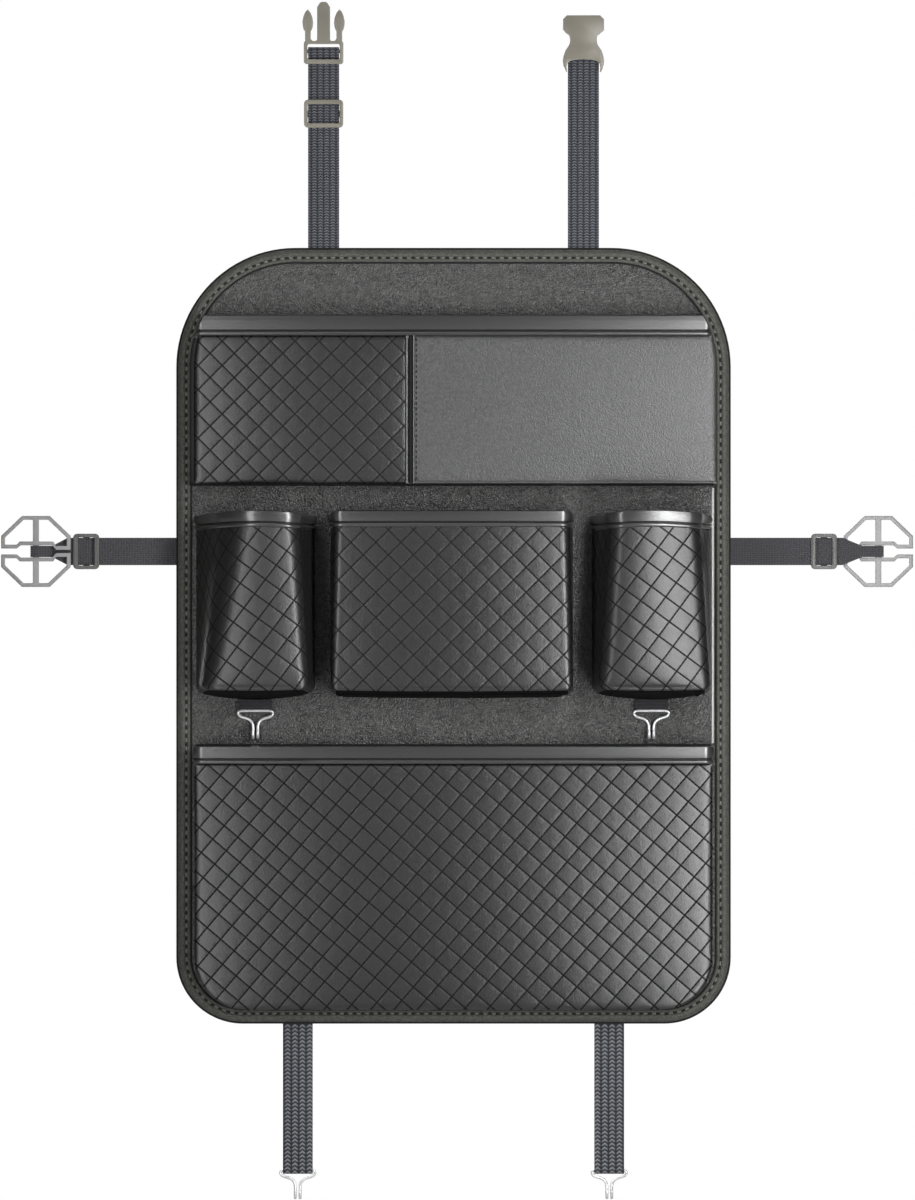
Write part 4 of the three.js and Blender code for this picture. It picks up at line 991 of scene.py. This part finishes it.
def softened(node, name, width=None):
    """A copy of a CAD node with bevels of this width, or with no width a smooth wire."""
    copy = add_object(name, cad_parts[node].data.copy())
    tidy_mesh(copy, merge=0.00002)
    edit_all(copy)
    if width:
        bpy.ops.mesh.dissolve_limited(angle_limit=math.radians(2))
    else:
        bpy.ops.mesh.tris_convert_to_quads(face_threshold=1.2, shape_threshold=1.2)
    bpy.ops.object.mode_set(mode="OBJECT")
    if width:
        bevel = copy.modifiers.new("round", "BEVEL")
        bevel.width = width
        bevel.segments = BEVEL_SEGMENTS
        bevel.limit_method = "ANGLE"
        bevel.angle_limit = math.radians(BEVEL_ANGLE)
    else:
        smooth = copy.modifiers.new("round", "SUBSURF")
        smooth.levels = smooth.render_levels = WIRE_LEVELS
        swollen = copy.modifiers.new("regain", "DISPLACE")
        swollen.mid_level = 0.0
        swollen.strength = WIRE_REGAIN
    select_only(copy)
    for step in [modifier.name for modifier in copy.modifiers]:
        bpy.ops.object.modifier_apply(modifier=step)
    return copy


braid, inlet, outlet = shader_group("braid", {
    "Vector": None, "Column": 0.005, "Pitch": 0.003, "Slant": 1.0,
}, ["Height"])
flat = wire_up(braid, "ShaderNodeSeparateXYZ", {0: inlet["Vector"]}).outputs
column = math_node(braid, "FRACT", math_node(braid, "DIVIDE", flat[0], inlet["Column"]))
middle = math_node(braid, "ABSOLUTE", math_node(braid, "SUBTRACT", column, 0.5))
phase = math_node(braid, "ADD", math_node(braid, "DIVIDE", flat[1], inlet["Pitch"]),
                  math_node(braid, "MULTIPLY", middle, inlet["Slant"]))
strand = math_node(braid, "MULTIPLY", math_node(braid, "PINGPONG", phase, 0.5), 2.0)
edge = math_node(braid, "POWER", math_node(braid, "MULTIPLY", middle, 2.0), 3.0)
woven = math_node(braid, "MULTIPLY", strand, math_node(braid, "SUBTRACT", 1.0, edge))
braid.links.new(woven, outlet["Height"])


def braided(name, dark, light, turn, column, pitch, slant):
    """Braided cloth whose columns are column wide and whose strands are pitch apart and lean by slant.
    The turn brings the strap's width to x and its length to y."""
    material, tree, shader = new_material(name, {"Roughness": 0.75, "Sheen Weight": 0.15})
    place = object_place(tree)
    laid = wire_up(tree, "ShaderNodeMapping", {"Vector": place, "Rotation": turn}).outputs[0]
    woven = place_group(tree, braid, {
        "Vector": laid, "Column": column, "Pitch": pitch, "Slant": slant,
    })["Height"]
    fuzz = noise(tree, place, 1800.0)
    mixed = math_node(tree, "ADD", math_node(tree, "MULTIPLY", woven, 0.75),
                      math_node(tree, "MULTIPLY", fuzz, 0.25))
    tree.links.new(blend_colour(tree, remap(tree, mixed, 0.25, 0.8), dark, light), shader["Base Color"])
    tree.links.new(raised(tree, woven, 0.0006, 0.9), shader["Normal"])
    return material


STANDING, LYING = (-math.pi / 2, 0, 0), (-math.pi / 2, 0, math.pi / 2)
top_braid = braided("top_braid", (0.012, 0.013, 0.017), (0.15, 0.158, 0.185), STANDING, 0.0047, 0.0021, 1.0)
bottom_braid = braided(
    "bottom_braid", (0.004, 0.0045, 0.006), (0.21, 0.222, 0.25), STANDING, 0.0056, 0.003, 1.3)
elastic_cloth = braided("elastic_cloth", (0.035, 0.035, 0.041), (0.09, 0.09, 0.1), LYING, 0.0016, 0.0012, 0.6)
tab_cloth = braided("tab_cloth", (0.02, 0.02, 0.024), (0.07, 0.07, 0.08), LYING, 0.0025, 0.0012, 0.6)

# The front layer of a hook's tab ends above the hook's bar, which shows below it in the photograph.
TAB_FRONT_Y = -0.0072
TAB_END_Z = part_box("front_hook_left")[1].z + 0.0002
for side in ("left", "right"):
    for node, material, slot_name in (
        ("top_strap_" + side, top_braid, "webbing"),
        ("bottom_strap_" + side, bottom_braid, "webbing"),
        ("side_strap_" + side, elastic_cloth, "elastic_webbing"),
        ("hook_tab_" + side, tab_cloth, "webbing"),
    ):
        cloth = softened(node, node + "_cloth", 0.0003)
        if node.startswith("hook_tab"):
            for vertex in cloth.data.vertices:
                if vertex.co.y < TAB_FRONT_Y:
                    vertex.co.z = max(vertex.co.z, TAB_END_Z)
        dressed(cloth, material, BODY, slot_name, node)


def moulded(name, dark, light, rough):
    material, tree, shader = new_material(name)
    place = object_place(tree)
    clouds = noise(tree, place, 60.0, 3.0)
    spark = noise(tree, place, 4200.0)
    tree.links.new(blend_colour(tree, clouds, dark, light), shader["Base Color"])
    tree.links.new(remap(tree, clouds, 0.3, 0.7, rough - 0.02, rough + 0.03), shader["Roughness"])
    tree.links.new(raised(tree, spark, 0.00006, 0.4), shader["Normal"])
    return material


khaki = moulded("khaki_plastic", (0.20, 0.187, 0.155), (0.26, 0.243, 0.202), 0.36)
charcoal = moulded("charcoal_plastic", (0.06, 0.06, 0.058), (0.1, 0.1, 0.096), 0.4)
grey = moulded("grey_plastic", (0.2, 0.2, 0.205), (0.3, 0.3, 0.305), 0.4)
for node, material, slot_name, width in (
    ("strap_slider", khaki, "khaki_plastic", 0.0004),
    ("male_buckle", khaki, "khaki_plastic", 0.0010),
    ("female_buckle", khaki, "khaki_plastic", 0.0013),
    ("side_slider_left", charcoal, "dark_plastic", 0.0004),
    ("side_slider_right", charcoal, "dark_plastic", 0.0004),
):
    dressed(softened(node, node + "_moulding", width), material, node, slot_name, node, smooth=35)
for side in ("left", "right"):
    node = "side_clip_" + side
    dressed(softened(node, node + "_moulding", 0.0004), grey, BODY, "grey_plastic", node, smooth=35)


silver, tree, shader = new_material("polished_wire", {"Metallic": 0.6})
scuff = noise(tree, object_place(tree), 900.0, 4.0)
tree.links.new(blend_colour(tree, scuff, (0.78, 0.78, 0.79), (0.9, 0.9, 0.91)), shader["Base Color"])
tree.links.new(remap(tree, scuff, 0.3, 0.7, 0.26, 0.38), shader["Roughness"])
for node in ("front_hook_left", "front_hook_right", "bottom_hook_left", "bottom_hook_right"):
    dressed(softened(node, node + "_wire"), silver, node, "bright_wire", node, smooth=80)
